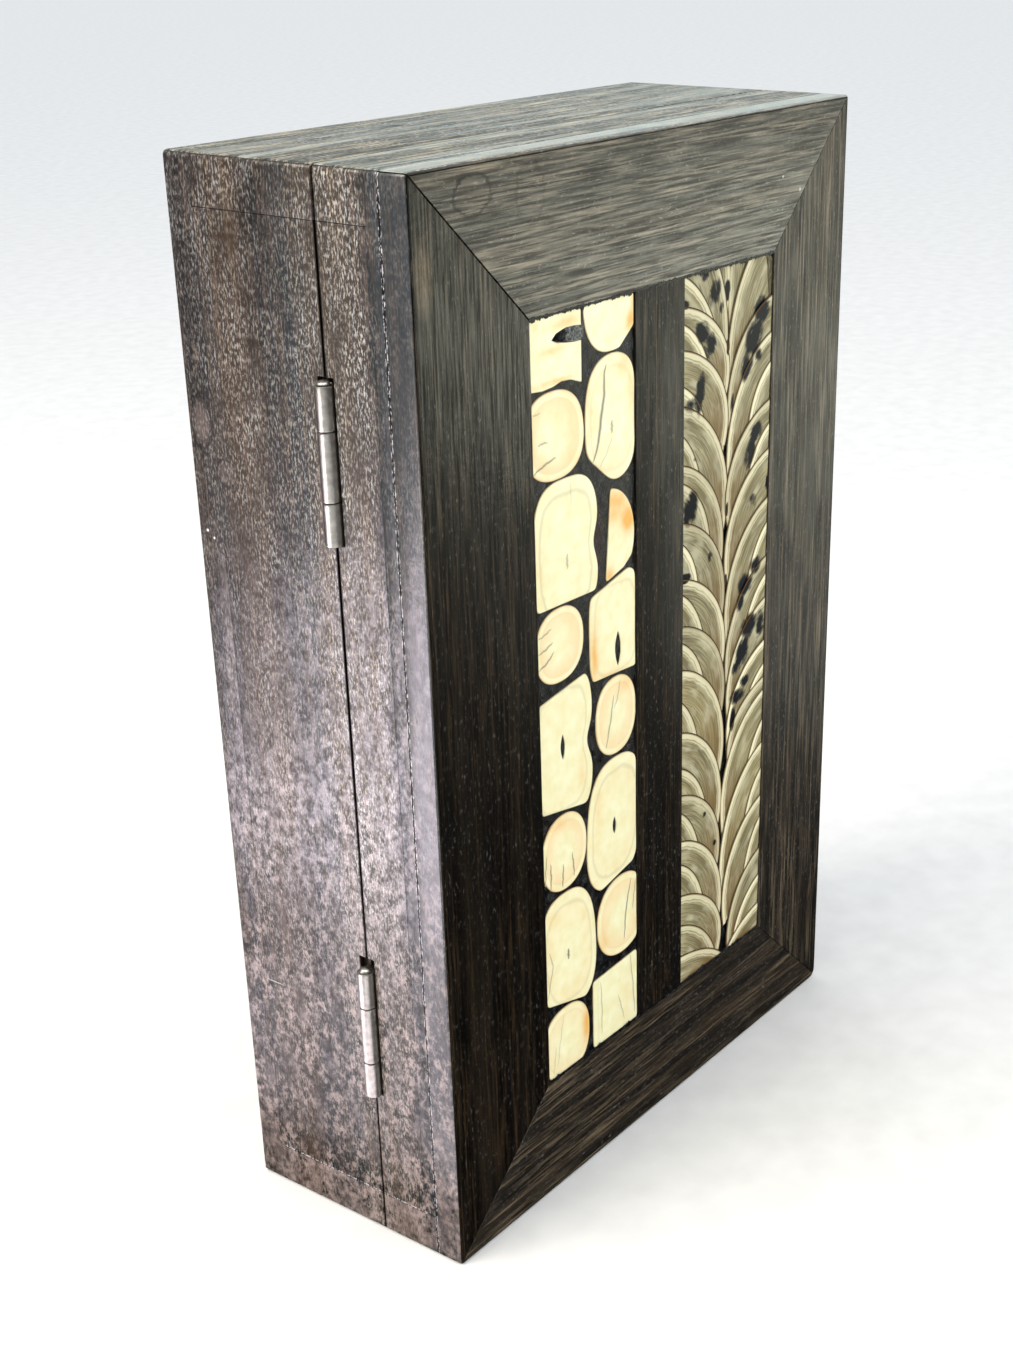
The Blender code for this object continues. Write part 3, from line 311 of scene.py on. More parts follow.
def make_piece(name, shape, body, finish, node=None, fields=None, smooth=30.0):
    """Make a dressed object of points and faces, its seams and poles welded and its faces outwards."""
    points, faces = shape
    mesh = bpy.data.meshes.new(name)
    mesh.from_pydata(np.asarray(points, float).reshape(-1, 3).tolist(), [], faces)
    for key, values in (fields or {}).items():
        layer = mesh.attributes.new(key, "FLOAT", "POINT")
        layer.data.foreach_set("value", np.asarray(values, np.float32).ravel())
    bm = bmesh.new()
    bm.from_mesh(mesh)
    bmesh.ops.remove_doubles(bm, verts=bm.verts, dist=2e-6)
    bmesh.ops.dissolve_degenerate(bm, edges=bm.edges, dist=1e-7)
    bmesh.ops.recalc_face_normals(bm, faces=bm.faces)
    bm.to_mesh(mesh)
    bm.free()
    mesh.polygons.foreach_set("use_smooth", np.ones(len(mesh.polygons), bool))
    mesh.set_sharp_from_angle(angle=math.radians(smooth))
    obj = bpy.data.objects.new(name, mesh)
    bpy.context.scene.collection.objects.link(obj)
    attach(obj, body)
    "dark_wood" if finish in WOOD_LOOKS else finish
    if node:
        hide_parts(node)
    return dress(obj, finish)


def moved_sides(outline, insets):
    """An outline with each side moved inwards by its own inset.

    A corner lies where its two moved sides cross: their two line equations are solved together.
    """
    ahead = np.roll(outline, -1, axis=0) - outline
    normal = np.stack([-ahead[:, 1], ahead[:, 0]], axis=1) / np.linalg.norm(ahead, axis=1)[:, None]
    before = np.roll(normal, 1, axis=0)
    reach_before = np.roll(insets, 1) + np.sum(before * outline, axis=1)
    reach = insets + np.sum(normal * outline, axis=1)
    cross = before[:, 0] * normal[:, 1] - before[:, 1] * normal[:, 0]
    flat = np.abs(cross) < 1e-3
    safe = np.where(flat, 1.0, cross)
    x = (reach_before * normal[:, 1] - reach * before[:, 1]) / safe
    z = (before[:, 0] * reach - normal[:, 0] * reach_before) / safe
    return np.where(flat[:, None], outline + normal * insets[:, None], np.stack([x, z], axis=1))


def rounded_rectangle(x_span, z_span, radii, steps=5):
    """A rectangle whose corners are quarter circles, counter-clockwise from the low left corner."""
    angle = np.linspace(0, math.pi / 2, steps + 1)
    parts = []
    for quarter, radius in enumerate(np.broadcast_to(radii, 4)):
        x = x_span[1] - radius if quarter in (1, 2) else x_span[0] + radius
        z = z_span[1] - radius if quarter in (2, 3) else z_span[0] + radius
        turn = angle + math.pi / 2 * (quarter + 2)
        parts.append(np.stack([x + radius * np.cos(turn), z + radius * np.sin(turn)], axis=1))
    return np.concatenate(parts)


def board_mesh(outline, insets, front, back, ease_front, ease_back, lip=0.0):
    """A board: its outline carried from front to back, with quarter-round edges at both faces.

    Ring by ring the sides are moved in by inset times one minus the sine of an angle, while the
    depth grows by the ease times one minus its cosine. A lip is one more ring inside the front
    edge, which keeps the shading of the face within it flat.
    """
    count = len(outline)
    insets = np.broadcast_to(insets, count)
    turns = np.linspace(0, math.pi / 2, 5)
    rings = [(insets + lip, front)] if lip else []
    rings += [(insets * (1 - math.sin(turn)), front + ease_front * (1 - math.cos(turn))) for turn in turns]
    back_insets = np.minimum(insets, ease_back)
    rings += [(back_insets * (1 - math.sin(turn)), back - ease_back * (1 - math.cos(turn)))
              for turn in turns[::-1]]
    sides = np.array([moved_sides(outline, inset) for inset, _ in rings])
    depth = np.broadcast_to(np.array([at for _, at in rings])[:, None], sides.shape[:2])
    faces = grid_faces(len(rings), count)
    faces += [list(range(count)), list(range(len(rings) * count - 1, (len(rings) - 1) * count - 1, -1))]
    return np.stack([sides[..., 0], depth, sides[..., 1]], axis=-1), faces


def join_meshes(parts):
    """Several lots of points and faces as one."""
    points, faces, start = [], [], 0
    for more_points, more_faces in parts:
        points.append(np.reshape(more_points, (-1, 3)))
        faces += [[index + start for index in face] for face in more_faces]
        start += len(points[-1])
    return np.concatenate(points), faces


def join_fields(parts):
    """The colour fields of several lots of points as one."""
    return {key: np.concatenate([np.ravel(part[key]) for part in parts]) for key in parts[0]}


def lathe_mesh(profile, centre, closed=False):
    """A profile of (radius, height) turned about a vertical axis; a closed one is a tube."""
    profile = np.array(profile)
    turn = np.arange(48) / 48 * 2 * math.pi
    x = centre[0] + profile[:, 0, None] * np.cos(turn)
    y = centre[1] + profile[:, 0, None] * np.sin(turn)
    z = np.broadcast_to(centre[2] + profile[:, 1, None], x.shape)
    return np.stack([x, y, z], axis=-1), grid_faces(*x.shape, across=closed)


# Materials

def fill(node, sockets):
    """Give a node's sockets their values, or link them from a node's first output or from a socket."""
    for key, value in sockets.items():
        socket = node.inputs[key.replace("_", " ") if isinstance(key, str) else key]
        if isinstance(value, bpy.types.Node):
            value = value.outputs[0]
        if isinstance(value, bpy.types.NodeSocket):
            node.id_data.links.new(value, socket)
        else:
            socket.default_value = (*value, 1.0) if socket.type == "RGBA" else value


def add_node(tree, kind, *values, stops=(), **named):
    """Add a node. Values fill its sockets in order, and named ones are its settings or sockets.

    stops are a ramp's positions, each with a colour or a grey.
    """
    node = tree.nodes.new("ShaderNode" + kind)
    for key in [key for key in named if hasattr(node, key)]:
        setattr(node, key, named.pop(key))
    fill(node, dict(enumerate(values)) | named)
    elements = node.color_ramp.elements if stops else ()
    while len(elements) < len(stops):
        elements.new(1.0)
    for element, (position, tone) in zip(elements, stops):
        element.position = position
        element.color = (*(tone if isinstance(tone, tuple) else (tone,) * 3), 1.0)
    return node


def start_material(name, *fields):
    """An empty material, a way to add nodes to it, its Object coordinates and its colour fields."""
    material = bpy.data.materials.new(name)
    material.use_nodes = True
    add = partial(add_node, material.node_tree)
    fields = {key: add("Attribute", attribute_name=key).outputs["Fac"] for key in fields}
    return material, add, add("TexCoord").outputs["Object"], fields


def finish_material(material, **sockets):
    """Fill the shader's sockets and hand the material back."""
    fill(material.node_tree.nodes["Principled BSDF"], sockets)
    return material


def lay_tones(add, colours, colour, *layers):
    """Lay tones over a colour one after another, each as strong as the product of its shares."""
    for tone, amount, *shares in layers:
        for share in shares:
            amount = add("Math", amount, share, operation="MULTIPLY")
        colour = add("MixRGB", amount, colour, colours[tone] if isinstance(tone, str) else tone)
    return colour


def stripe(add, coordinate, middle, half, end):
    """A stripe across one coordinate: 1 up to half from its middle, fading to 0 at its end."""
    away = add("Math", coordinate, middle, operation="SUBTRACT")
    return add("MapRange", add("Math", away, operation="ABSOLUTE"), half, end, 1, 0)


def add_mark(add, place, noise, mark, wood, dull, colours):
    """A water mark or a run in the lacquer: an uneven oval, with a dull dark rim and a paler inside."""
    across, up = mark.across * MM, mark.up * MM
    wide, high = 1 / (mark.half_width * MM), 1 / (mark.half_height * MM)
    middle, scale = (across, 0.0, up), (wide, 0.0, high)
    if mark.look == "wall":
        middle, scale = (0.0, FRONT + across, up), (0.0, wide, high)
    laid = add("Mapping", place, Scale=scale, Location=[-at * size for at, size in zip(middle, scale)])
    far = add("VectorMath", laid, operation="LENGTH").outputs["Value"]
    far = add("Math", noise["craters"], 0.9, far, operation="MULTIPLY_ADD")
    half = add("Math", far, 0.5, operation="MULTIPLY")
    for tone, stops, strength, broken in (
            (mark.tone, ((0.45, 1), (0.76, 0)), mark.inside, "flecks"),
            ("black", ((0.66, 0), (0.715, 1), (0.74, 1), (0.78, 0)), mark.rim * 1.6, "patches")):
        if strength:
            share = add("ValToRGB", half, stops=stops)
            share = add("Math", share, noise[broken], operation="MULTIPLY")
            share = add("Math", share, strength, operation="MULTIPLY", use_clamp=True)
            wood = lay_tones(add, colours, wood, (tone, share))
            if tone == "black":
                dull = add("Math", dull, share, operation="MAXIMUM")
    return wood, dull


# Where a point is on an outer wall: back and up, the share of the way in from the front, whether
# it is on the box and not on its front or back edge, and whether it faces out
WallPlace = namedtuple("WallPlace", "y z inward in_box outer")


def find_wall(add, place, noise):
    """Work out a WallPlace; the way in wavers by some millimetres with the patches of lacquer."""
    x, y, z = add("SeparateXYZ", place).outputs
    deep = add("Math", noise["patches"], 6 * MM, y, operation="MULTIPLY_ADD")
    inward = add("MapRange", deep, FRONT + 3 * MM, BACK + 3 * MM)
    in_box = add("ValToRGB", inward, stops=((0.10, 0), (0.12, 1), (0.885, 1), (0.905, 0)))
    aside = add("Math", x, operation="ABSOLUTE")
    outer = add("MapRange", aside, OPENING_FACE - 0.7 * MM, OPENING_FACE - 0.3 * MM)
    return WallPlace(y, z, inward, in_box, outer)


def wall_layers(add, wall, noise, patches):
    """What lies on the outer walls' wood, painted floor bounce among it, lowest first, as tones and their
    shares.
    """
    # The boards' end grain at the foot, paler, with a painted bounce from the floor on it; low on the front
    # and back edges a painted floor bounce, brighter towards the floor
    end_grain_and_bounce = add("MapRange", wall.z, END_GRAIN + 0.6 * MM, END_GRAIN - 0.4 * MM)
    edge_floor_bounce = add("MapRange", wall.z, 70 * MM, 20 * MM, 0, 0.8)
    yield "crater", add("MixRGB", wall.in_box, edge_floor_bounce, end_grain_and_bounce), noise["craters"], 0.5
    # The joint behind the frame, and the one over the foot: broken black, with white specks
    between = add("ValToRGB", wall.inward, stops=((0.15, 0), (0.17, 1), (0.87, 1), (0.89, 0)))
    for coordinate, middle, wide, pale, dark, *within in (
            (wall.y, FRAME_BACK, 0.6 * MM, 0.52, 0.49),
            (wall.z, END_GRAIN + 0.5 * MM, 0.4 * MM, 0.50, 0.40, between)):
        line = stripe(add, coordinate, middle, wide * 0.5, wide * 1.2)
        for tone, stops in (("black", ((dark, 1), (dark + 0.03, 0))),
                            ("fleck_white", ((pale, 0), (pale + 0.04, 0.8)))):
            yield tone, line, *within, add("ValToRGB", noise["flecks"], stops=stops)
    # Craters gather below 200 mm and cover the wall near its foot: a pale veil, then dark pits
    low = add("MapRange", wall.z, 200 * MM, 90 * MM, 0.18, 1)
    low = add("Math", low, patches, operation="MULTIPLY")
    yield "crater", add("ValToRGB", noise["craters"], stops=((0.50, 0), (0.60, 1))), low, 0.62
    yield "dark", add("ValToRGB", noise["craters"], stops=((0.38, 1), (0.45, 0))), low, 0.9


def lacquered_palm(look_key, colours):
    """Black palm, planed and brushed with thick gloss lacquer.

    Near-black wood whose tan fibre bundles show as streaks, and as short dashes where they are cut
    at a slant. The lacquer lies uneven, so broad soft reflections break up in it, and low on the
    walls it has dried into craters.
    """
    look, on_wall = WOOD_LOOKS[look_key], look_key == "wall"
    material, add, place, _ = start_material("black_palm_" + look.name)
    noise = {}
    for shift, (key, (across, along, detail, rough)) in enumerate(WOOD_PATTERNS.items()):
        scale = [1 / (across * look.coarse * MM)] * 3
        scale["XYZ".index(look.grain)] = 1 / (along * look.coarse * MM)
        laid = add("Mapping", place, Scale=scale, Location=(shift * 5.0,) * 3)
        noise[key] = add("TexNoise", laid, Scale=1.0, Detail=detail, Roughness=rough)
    tones = [(at, colours[tone]) for at, tone in zip((0.32, 0.50, 0.68), look.ground.split())]
    wood = add("ValToRGB", noise["bands"], stops=tones)
    streaks = add("ValToRGB", noise["streaks"], stops=((0.46, 0), (0.67, 1)))
    for share in (add("ValToRGB", noise["strips"], stops=((0.38, 0.12), (0.62, 1))), look.streaks):
        streaks = add("Math", streaks, share, operation="MULTIPLY")
    patches = add("ValToRGB", noise["patches"], stops=((0.34, 0.15), (0.62, 1)))
    dashes = [add("ValToRGB", noise["flecks"], stops=((look.sets_in, 0), (look.sets_in + 0.14, 1))),
              patches, look.flecks]
    tones = ((0.40, colours["fleck"]), (0.60, colours["fleck_warm"]))
    dash_tone = add("ValToRGB", noise["strips"], stops=tones)
    if on_wall:
        wall = find_wall(add, place, noise)
        full = (BACK - FRONT) / MM
        plain = lay_tones(add, colours, wood, ("streak_brown", streaks))
        columns = [(at / full, colours[tone]) for at, tone, _ in COLUMNS]
        wood = add("MixRGB", 0.75, wood, add("ValToRGB", wall.inward, stops=columns))
        shares = [(at / full, strength * 0.8) for at, _, strength in COLUMNS]
        dashes += [add("ValToRGB", wall.inward, stops=shares),
                   add("MapRange", wall.z, 140 * MM, 70 * MM, 1, 0.6)]
    wood = lay_tones(add, colours, wood, (look.streak, streaks), (dash_tone, *dashes))
    dull = 0.0
    if on_wall:
        # Painted shade along the seam between lid and case, weaker near the foot
        seam = stripe(add, wall.y, PIN_Y, 0.55 * MM, 1.0 * MM)
        higher = add("MapRange", wall.z, 50 * MM, 200 * MM, 0.3, 1)
        dull = add("Math", seam, higher, operation="MULTIPLY")
        wood = lay_tones(add, colours, wood, *wall_layers(add, wall, noise, patches), ("black", dull))
    for mark in map(Mark._make, MARKS):
        if mark.look == look_key:
            wood, dull = add_mark(add, place, noise, mark, wood, dull, colours)

    # Lacquer: thicker and thinner by patches, with brushed ripples 2.8 mm apart
    coat = add("MapRange", noise["craters" if on_wall else "streaks"], 0.40, 0.61,
               look.coat * 0.15, look.coat * 1.85)
    thickness = []
    if on_wall:
        # What faces into the box is plain
        wood = add("MixRGB", wall.outer, plain, wood)
        # Smoother on the frame's edge
        rippled = add("MapRange", wall.inward, 0.09, 0.13, 0.3, 1)
        coat = add("MixRGB", rippled, (look.coat,) * 3, coat)
        # Thinner above the end grain, by the height in tenths of a metre, where it has dried away
        tenths = add("Math", wall.z, 10.0, operation="MULTIPLY")
        thin = add("ValToRGB", tenths,
                   stops=((0.12, 0.95), (0.18, 0.32), (0.34, 0.38), (0.62, 0.78), (0.90, 0.97)))
        # Twice these shares: thick on the frame's edge, thin by the back
        thick = add("ValToRGB", wall.inward, stops=(
            (0.08, 0.75), (0.12, 0.49), (0.16, 0.50), (0.20, 0.57), (0.40, 0.57), (0.60, 0.50), (0.84, 0.46),
            (0.92, 0.41)))
        thickness = [add("MixRGB", wall.in_box, (1.04,) * 3, thin), thick, 2.0,
                     add("MapRange", wall.outer, 0, 1, 0.2, 1)]
    # The seam's painted shade and the marks' dark rims also weaken the lacquer's coat
    if dull:
        thickness.append(add("Math", 1.0, dull, operation="SUBTRACT"))
    for share in thickness:
        coat = add("Math", coat, share, operation="MULTIPLY")
    streak_bump = add("Bump", Height=noise["streaks"], Strength=0.25, Distance=0.15 * MM)
    ripple = add("TexNoise", place, Scale=1 / (2.8 * MM), Detail=3.0, Roughness=0.55)
    return finish_material(
        material, Base_Color=wood, Coat_Weight=coat, Coat_Roughness=0.22, Coat_IOR=1.48, IOR=1.48,
        Specular_IOR_Level=look.specular,
        Roughness=add("MapRange", noise["patches"], 0.3, 0.7, look.rough - 0.08, look.rough + 0.1),
        Normal=add("Bump", Height=noise["flecks"], Strength=0.35, Distance=0.12 * MM, Normal=streak_bump),
        Coat_Normal=add("Bump", Height=ripple, Strength=0.30, Distance=0.25 * MM))


def casting_resin(colours):
    """Black epoxy casting resin, poured and sanded back: glossy, with grey-blue speckles in patches."""
    material, add, place, fields = start_material("black_epoxy_resin_poured", "filler", "red")
    # Patches of speckle 3 mm across, its grains 0.5 mm, and the lumps of broken filler 1.2 mm
    patches = add("TexNoise", place, Scale=1 / (3.0 * MM), Detail=4.0)
    grains = add("TexNoise", place, Scale=1 / (0.5 * MM), Detail=3.0)
    lumps = add("TexNoise", place, Scale=1 / (1.2 * MM), Detail=5.0, Roughness=0.7)
    both = add("Math", patches, grains, operation="MULTIPLY")
    clean = add("Math", fields["filler"], 1.0, operation="ADD", use_clamp=True)
    broken = add("MapRange", lumps, 0.42, 0.60)
    colour = lay_tones(
        add, colours, colours["resin"], ("resin_red", fields["red"]),
        ("dust", add("ValToRGB", both, stops=((0.27, 0), (0.46, 0.7))), clean),
        ("filler", add("Math", fields["filler"], broken, operation="MULTIPLY", use_clamp=True)))
    return finish_material(
        material, Base_Color=colour, Roughness=add("MapRange", patches, 0, 1, 0.16, 0.5), IOR=1.55,
        Specular_IOR_Level=0.3, Normal=add("Bump", Height=both, Strength=0.8, Distance=0.6 * MM))


def polished_tusk(colours):
    """Tusk, sawn across and polished: cream and warm, with a peach rim, faint rings and fine cracks."""
    material, add, place, fields = start_material(
        "tusk_sawn_polished", "growth", "peach", "ring", "stain", "crack", "margin")
    # Cloudy dentine 5 mm across, which also makes the growth level wobble
    cloud = add("TexNoise", place, Scale=1 / (5.0 * MM), Detail=4.0)
    level = add("Math", cloud, 0.10, fields["growth"], operation="MULTIPLY_ADD")
    level = add("Math", level, -0.05, operation="ADD")
    rim = add("ValToRGB", level,
              stops=((0.30, 0), (0.72, 0.65), (0.82, 0.7), (0.86, 0.1), (0.93, 0.2), (1, 1)))
    band = add("ValToRGB", level, stops=((0.755, 0), (0.79, 1), (0.81, 1), (0.845, 0)))
    uneven = add("Math", cloud, 0.6, operation="ADD")
    ground = add("ValToRGB", cloud, stops=((0.35, colours["tusk"]), (0.7, colours["tusk_shade"])))
    colour = lay_tones(
        add, colours, ground, ("tusk_rim", rim, fields["peach"]), ("tusk_ring", band, fields["ring"], 0.6),
        ("tusk_stain", add("Math", fields["stain"], uneven, operation="MULTIPLY", use_clamp=True)),
        ("tusk_edge", add("MapRange", fields["margin"], 0, 0.45, 0.75, 0)), ("tusk_crack", fields["crack"]))
    return finish_material(
        material, Base_Color=colour, Normal=add("Bump", Height=cloud, Strength=0.15, Distance=0.2 * MM),
        IOR=1.54, Roughness=0.32, Subsurface_Weight=0.12, Subsurface_Radius=(1.0, 0.8, 0.5),
        Subsurface_Scale=0.8 * MM)


def polished_horn(colours):
    """Horn, sliced thin and polished: a pale rim, then fine lines that follow it, and dark clouds."""
    material, add, place, fields = start_material(
        "horn_sliced_polished", "depth", "along", "warm", "pale", "mottle", "tip")
    cloud = add("TexNoise", place, Scale=1 / (4.0 * MM), Detail=4.0)
    # Fibre lines about 0.5 mm wide, smoke and milky bands, which run with the rim and waver along
    # it. How warm a slice is also tells its pattern from the next one's
    run = add("CombineXYZ", fields["depth"], fields["along"], fields["warm"])
    lines, smoke, milk = (
        add("TexNoise", add("Mapping", run, Scale=scale), Scale=1.0, Detail=detail, Roughness=rough)
        for scale, detail, rough in (((1.9, 0.05, 40.0), 3.0, 0.6), ((0.42, 0.16, 17.0), 3.0, 0.55),
                                     ((0.30, 0.07, 61.0), 2.0, 0.5)))
    inward = add("Math", cloud, 1.6, fields["depth"], operation="MULTIPLY_ADD")
    inward = add("MapRange", inward, 0.8, 8.8)
    # The rim as shares of 8 mm: a pale band 2 mm wide, a thin shade, then a thin pale line
    rim = add("ValToRGB", inward, stops=((0, 1), (0.24, 1), (0.285, 0.35), (0.32, 0.35), (0.35, 0.8),
                                         (0.38, 0.75), (0.43, 0.15), (0.56, 0)))
    ragged = add("MapRange", smoke, 0.32, 0.68, 0.5, 1.55)
    ragged = add("Math", ragged, fields["mottle"], operation="MULTIPLY")
    colour = lay_tones(
        add, colours, colours["horn_grey"], ("horn_tan", fields["warm"]),
        ("horn_olive", add("ValToRGB", inward, stops=((0.40, 0.55), (0.95, 0)))),
        ("horn_milk", add("ValToRGB", milk, stops=((0.48, 0), (0.70, 0.65)))),
        ("horn_line", add("ValToRGB", lines, stops=((0.42, 0), (0.62, 1))), 0.6),
        ("horn_tip", add("ValToRGB", fields["tip"], stops=((0.40, 0), (0.85, 0.7)))),
        ("horn_rim", rim, fields["pale"]),
        ("horn_dark", add("ValToRGB", ragged, stops=((0.26, 0), (0.46, 0.75), (0.70, 1)))),
        ("horn_edge", add("MapRange", fields["depth"], 0.12, 0.62, 0.85, 0)),
        # Dark on each slice's lip, just outside its rim
        ("horn_gap", add("MapRange", fields["depth"], -0.12, 0.05, 1, 0)))
    return finish_material(
        material, Base_Color=colour, Normal=add("Bump", Height=lines, Strength=0.3, Distance=0.15 * MM),
        IOR=1.54, Roughness=0.34, Specular_IOR_Level=0.04, Coat_Weight=0.02, Coat_Roughness=0.12)


def satin_nickel(colours):
    """Nickel plate on steel, brushed: grey metal with soft streaks along the barrel and fine pits."""
    material, add, place, _ = start_material("nickel_plate_brushed")
    # Brush marks 0.25 mm wide, drawn a little coarser than real ones
    brush = add("TexNoise", add("Mapping", place, Scale=(4000.0, 4000.0, 120.0)), Scale=1.0, Detail=2.0)
    wear = add("TexNoise", place, Scale=1 / (2.0 * MM), Detail=4.0)
    tones = (0.35, colours["nickel_dull"]), (0.6, colours["nickel"])
    return finish_material(
        material, Base_Color=add("ValToRGB", wear, stops=tones), Metallic=1.0,
        Roughness=add("MapRange", brush, 0, 1, 0.22, 0.48),
        Normal=add("Bump", Height=brush, Strength=0.2, Distance=0.05 * MM))


def studio_paper(colours):
    """Pale seamless paper, matt, with a faint fibre so that it isn't one flat tone."""
    material, add, place, _ = start_material("studio_paper_matt")
    fibre = add("TexNoise", place, Scale=60.0, Detail=3.0)
    tones = (0.3, colours["paper"]), (0.7, colours["paper_light"])
    return finish_material(material, Base_Color=add("ValToRGB", fibre, stops=tones), Roughness=0.9,
                           Specular_IOR_Level=0.1)


# Settings that a user would change

def hue(label, about, code):
    """A colour setting whose default is given as sRGB hex."""
    return bpy.props.FloatVectorProperty(name=label, description=about, subtype="COLOR", size=3,
                                         min=0.0, max=1.0, default=linear(code))


def length(label, about, millimetres):
    """A length setting whose default is given in millimetres."""
    return bpy.props.FloatProperty(name=label, description=about, subtype="DISTANCE", unit="LENGTH",
                                   precision=5, default=millimetres * MM)


class HumidorSizes(bpy.types.PropertyGroup):
    """Sizes of the finer relief."""
    close_up: length("Joint close-up", "How far a board grows into each tight joint", 0.11)
    edge_round: length("Edge round", "Radius of the small rounding on board edges", 0.45)
    face_round: length("Face round", "Radius where the frame's face meets the sides", 0.9)
    mitre_gap: length("Open mitre", "Width of the open mitre at the top hinge corner", 0.42)
    tusk_crown: length("Tusk crown", "How far a tusk slice swells in its middle", 0.14)
    tusk_edge: length("Tusk edge", "Radius of a tusk slice's polished edge", 0.3)
    horn_sheet: length("Horn sheet", "Thickness of a horn slice's shell", 0.1)
    horn_slope: bpy.props.FloatProperty(name="Horn slope", description="How far a slice sinks per height",
                                        default=0.021, min=0.0, max=0.1)


class HumidorColours(bpy.types.PropertyGroup):
    """Colours of the finishes."""
    black: hue("Wood, black", "Blackest ground of the palm wood", "#060403")
    dark: hue("Wood, dark", "Dark ground of the palm wood", "#0d0a07")
    mid: hue("Wood, middle", "Middle tone of the palm wood", "#1a150f")
    brown: hue("Wood, brown", "Brown bands of the palm wood", "#32281c")
    streak: hue("Wood, streaks", "Long tan streaks on the rails", "#75654e")
    streak_brown: hue("Wood, brown streaks", "Brown streaks on the dark stile", "#45351f")
    streak_wall: hue("Wood, wall streaks", "Streaks on the outer walls", "#57483d")
    # The top's tones: a painted overhead reflection on the top faces and a painted highlight on the frame's
    # top edge, with the grain's streaks drawn pale in them
    streak_pale: hue("Wood, pale streaks", "Worn tan streaks on the top", "#dccfae")
    slate_dark: hue("Wood, dark slate", "Dark bands on the worn top", "#101a1c")
    slate: hue("Wood, slate", "Worn blue-grey ground on the top", "#2b383b")
    slate_light: hue("Wood, light slate", "Paler bands on the top", "#7c8a88")
    fleck: hue("Wood, flecks", "Greyish fibre dashes", "#b7b9b6")
    # White specks along the joints and in two marks on the wall
    fleck_white: hue("Lacquer, sparkles", "Dried lacquer along the joints", "#d9d6dc")
    fleck_warm: hue("Wood, warm flecks", "Tan fibre dashes", "#b4a794")
    crater: hue("Lacquer, craters", "Pinkish veil where lacquer dried in craters", "#b09a94")
    col_slate: hue("Column, slate", "Slate wall column by the front", "#2e363b")
    col_blue: hue("Column, blue", "Bluish wall column", "#1d252c")
    col_night: hue("Column, night", "Near-black wall column", "#121216")
    col_grey: hue("Column, grey", "Grey-brown wall column", "#2a2526")
    col_brown: hue("Column, brown", "Brown wall column", "#352a24")
    col_umber: hue("Column, umber", "Orange-brown wall column", "#3a2b20")
    col_tan: hue("Column, tan", "Tan wall column at the seam", "#40372f")
    resin: hue("Resin", "Black casting resin", "#060607")
    resin_red: hue("Resin, red", "Reddish dark resin where it is thin", "#2a0c08")
    filler: hue("Resin, filler", "Grey filler in the top slice's slot", "#7c7f80")
    # Grey-blue speckles on the resin, none in the hole at the slot's tip
    dust: hue("Dust", "Dust on the resin", "#54585f")
    tusk: hue("Tusk", "Polished tusk", "#f1eec6")
    tusk_shade: hue("Tusk, shade", "Cloudy tusk", "#ebe3b0")
    tusk_rim: hue("Tusk, rim", "Peach rim of a slice", "#f0cc96")
    tusk_ring: hue("Tusk, ring", "Grey growth ring", "#cbc59c")
    tusk_stain: hue("Tusk, stain", "Amber stains", "#e8a940")
    tusk_edge: hue("Tusk, edge", "Brown line at a slice's edge", "#7a5a30")
    tusk_crack: hue("Tusk, cracks", "Hairline cracks", "#4a4436")
    horn_rim: hue("Horn, rim", "Pale rim of a slice", "#efe8c2")
    horn_grey: hue("Horn, grey", "Cool body of a slice", "#605e50")
    horn_tan: hue("Horn, tan", "Warm body of a slice", "#8f8259")
    horn_olive: hue("Horn, olive", "Shade just inside a rim", "#5d553a")
    horn_milk: hue("Horn, milk", "Milky bands in a slice's body", "#c4c0a4")
    horn_line: hue("Horn, lines", "Fibre lines", "#b4ab82")
    horn_dark: hue("Horn, clouds", "Dark mottling", "#10131a")
    horn_edge: hue("Horn, edge", "Brown line along a rim", "#6b4a22")
    horn_tip: hue("Horn, tips", "Amber and brown towards a slice's tip", "#6e5229")
    # The dark tone on each horn slice's lip, just outside its rim
    horn_gap: hue("Horn, gap", "Dirt under a rim", "#17130c")
    nickel: hue("Nickel", "Nickel plate", "#bab7b0")
    nickel_dull: hue("Nickel, dull", "Worn nickel", "#a09d96")
    paper: hue("Paper", "Studio paper", "#e9e9e7")
    paper_light: hue("Paper, light", "Studio paper, light side", "#f1f1ef")


def dress(obj, *keys):
    """Give an object its finishes."""
    obj.data.materials.clear()
    for key in keys:
        obj.data.materials.append(finish_of(key))
    return obj


@cache
def finish_of(key):
    """A finish by name, made the first time it is asked for."""
    group = bpy.context.scene.humidor_colours
    colours = {name: tuple(getattr(group, name)) for name in HumidorColours.__annotations__}
    makers = {"resin": casting_resin, "tusk": polished_tusk, "horn": polished_horn, "nickel": satin_nickel,
              "paper": studio_paper}
    return makers[key](colours) if key in makers else lacquered_palm(key, colours)


def dress_outside(obj, plain, top="top"):
    """Give a board one finish, and others on what faces out at the box's two sides and its top."""
    mesh = dress(obj, plain, "wall", top).data
    normal, middle = (np.empty(len(mesh.polygons) * 3) for _ in range(2))
    mesh.polygons.foreach_get("normal", normal)
    mesh.polygons.foreach_get("center", middle)
    normal, middle = normal.reshape(-1, 3), middle.reshape(-1, 3)
    outside = (np.abs(normal[:, 0]) > SQUARE_ON) & (np.abs(middle[:, 0]) > OPENING_FACE - SKIN)
    # Faces on the box's top take the finish with the painted reflection
    above = (normal[:, 2] > SQUARE_ON) & (middle[:, 2] > HEIGHT - SKIN)
    slots = np.where(outside, 1, np.where(above, 2, 0)).astype(np.int32)
    mesh.polygons.foreach_set("material_index", slots)


# Pieces

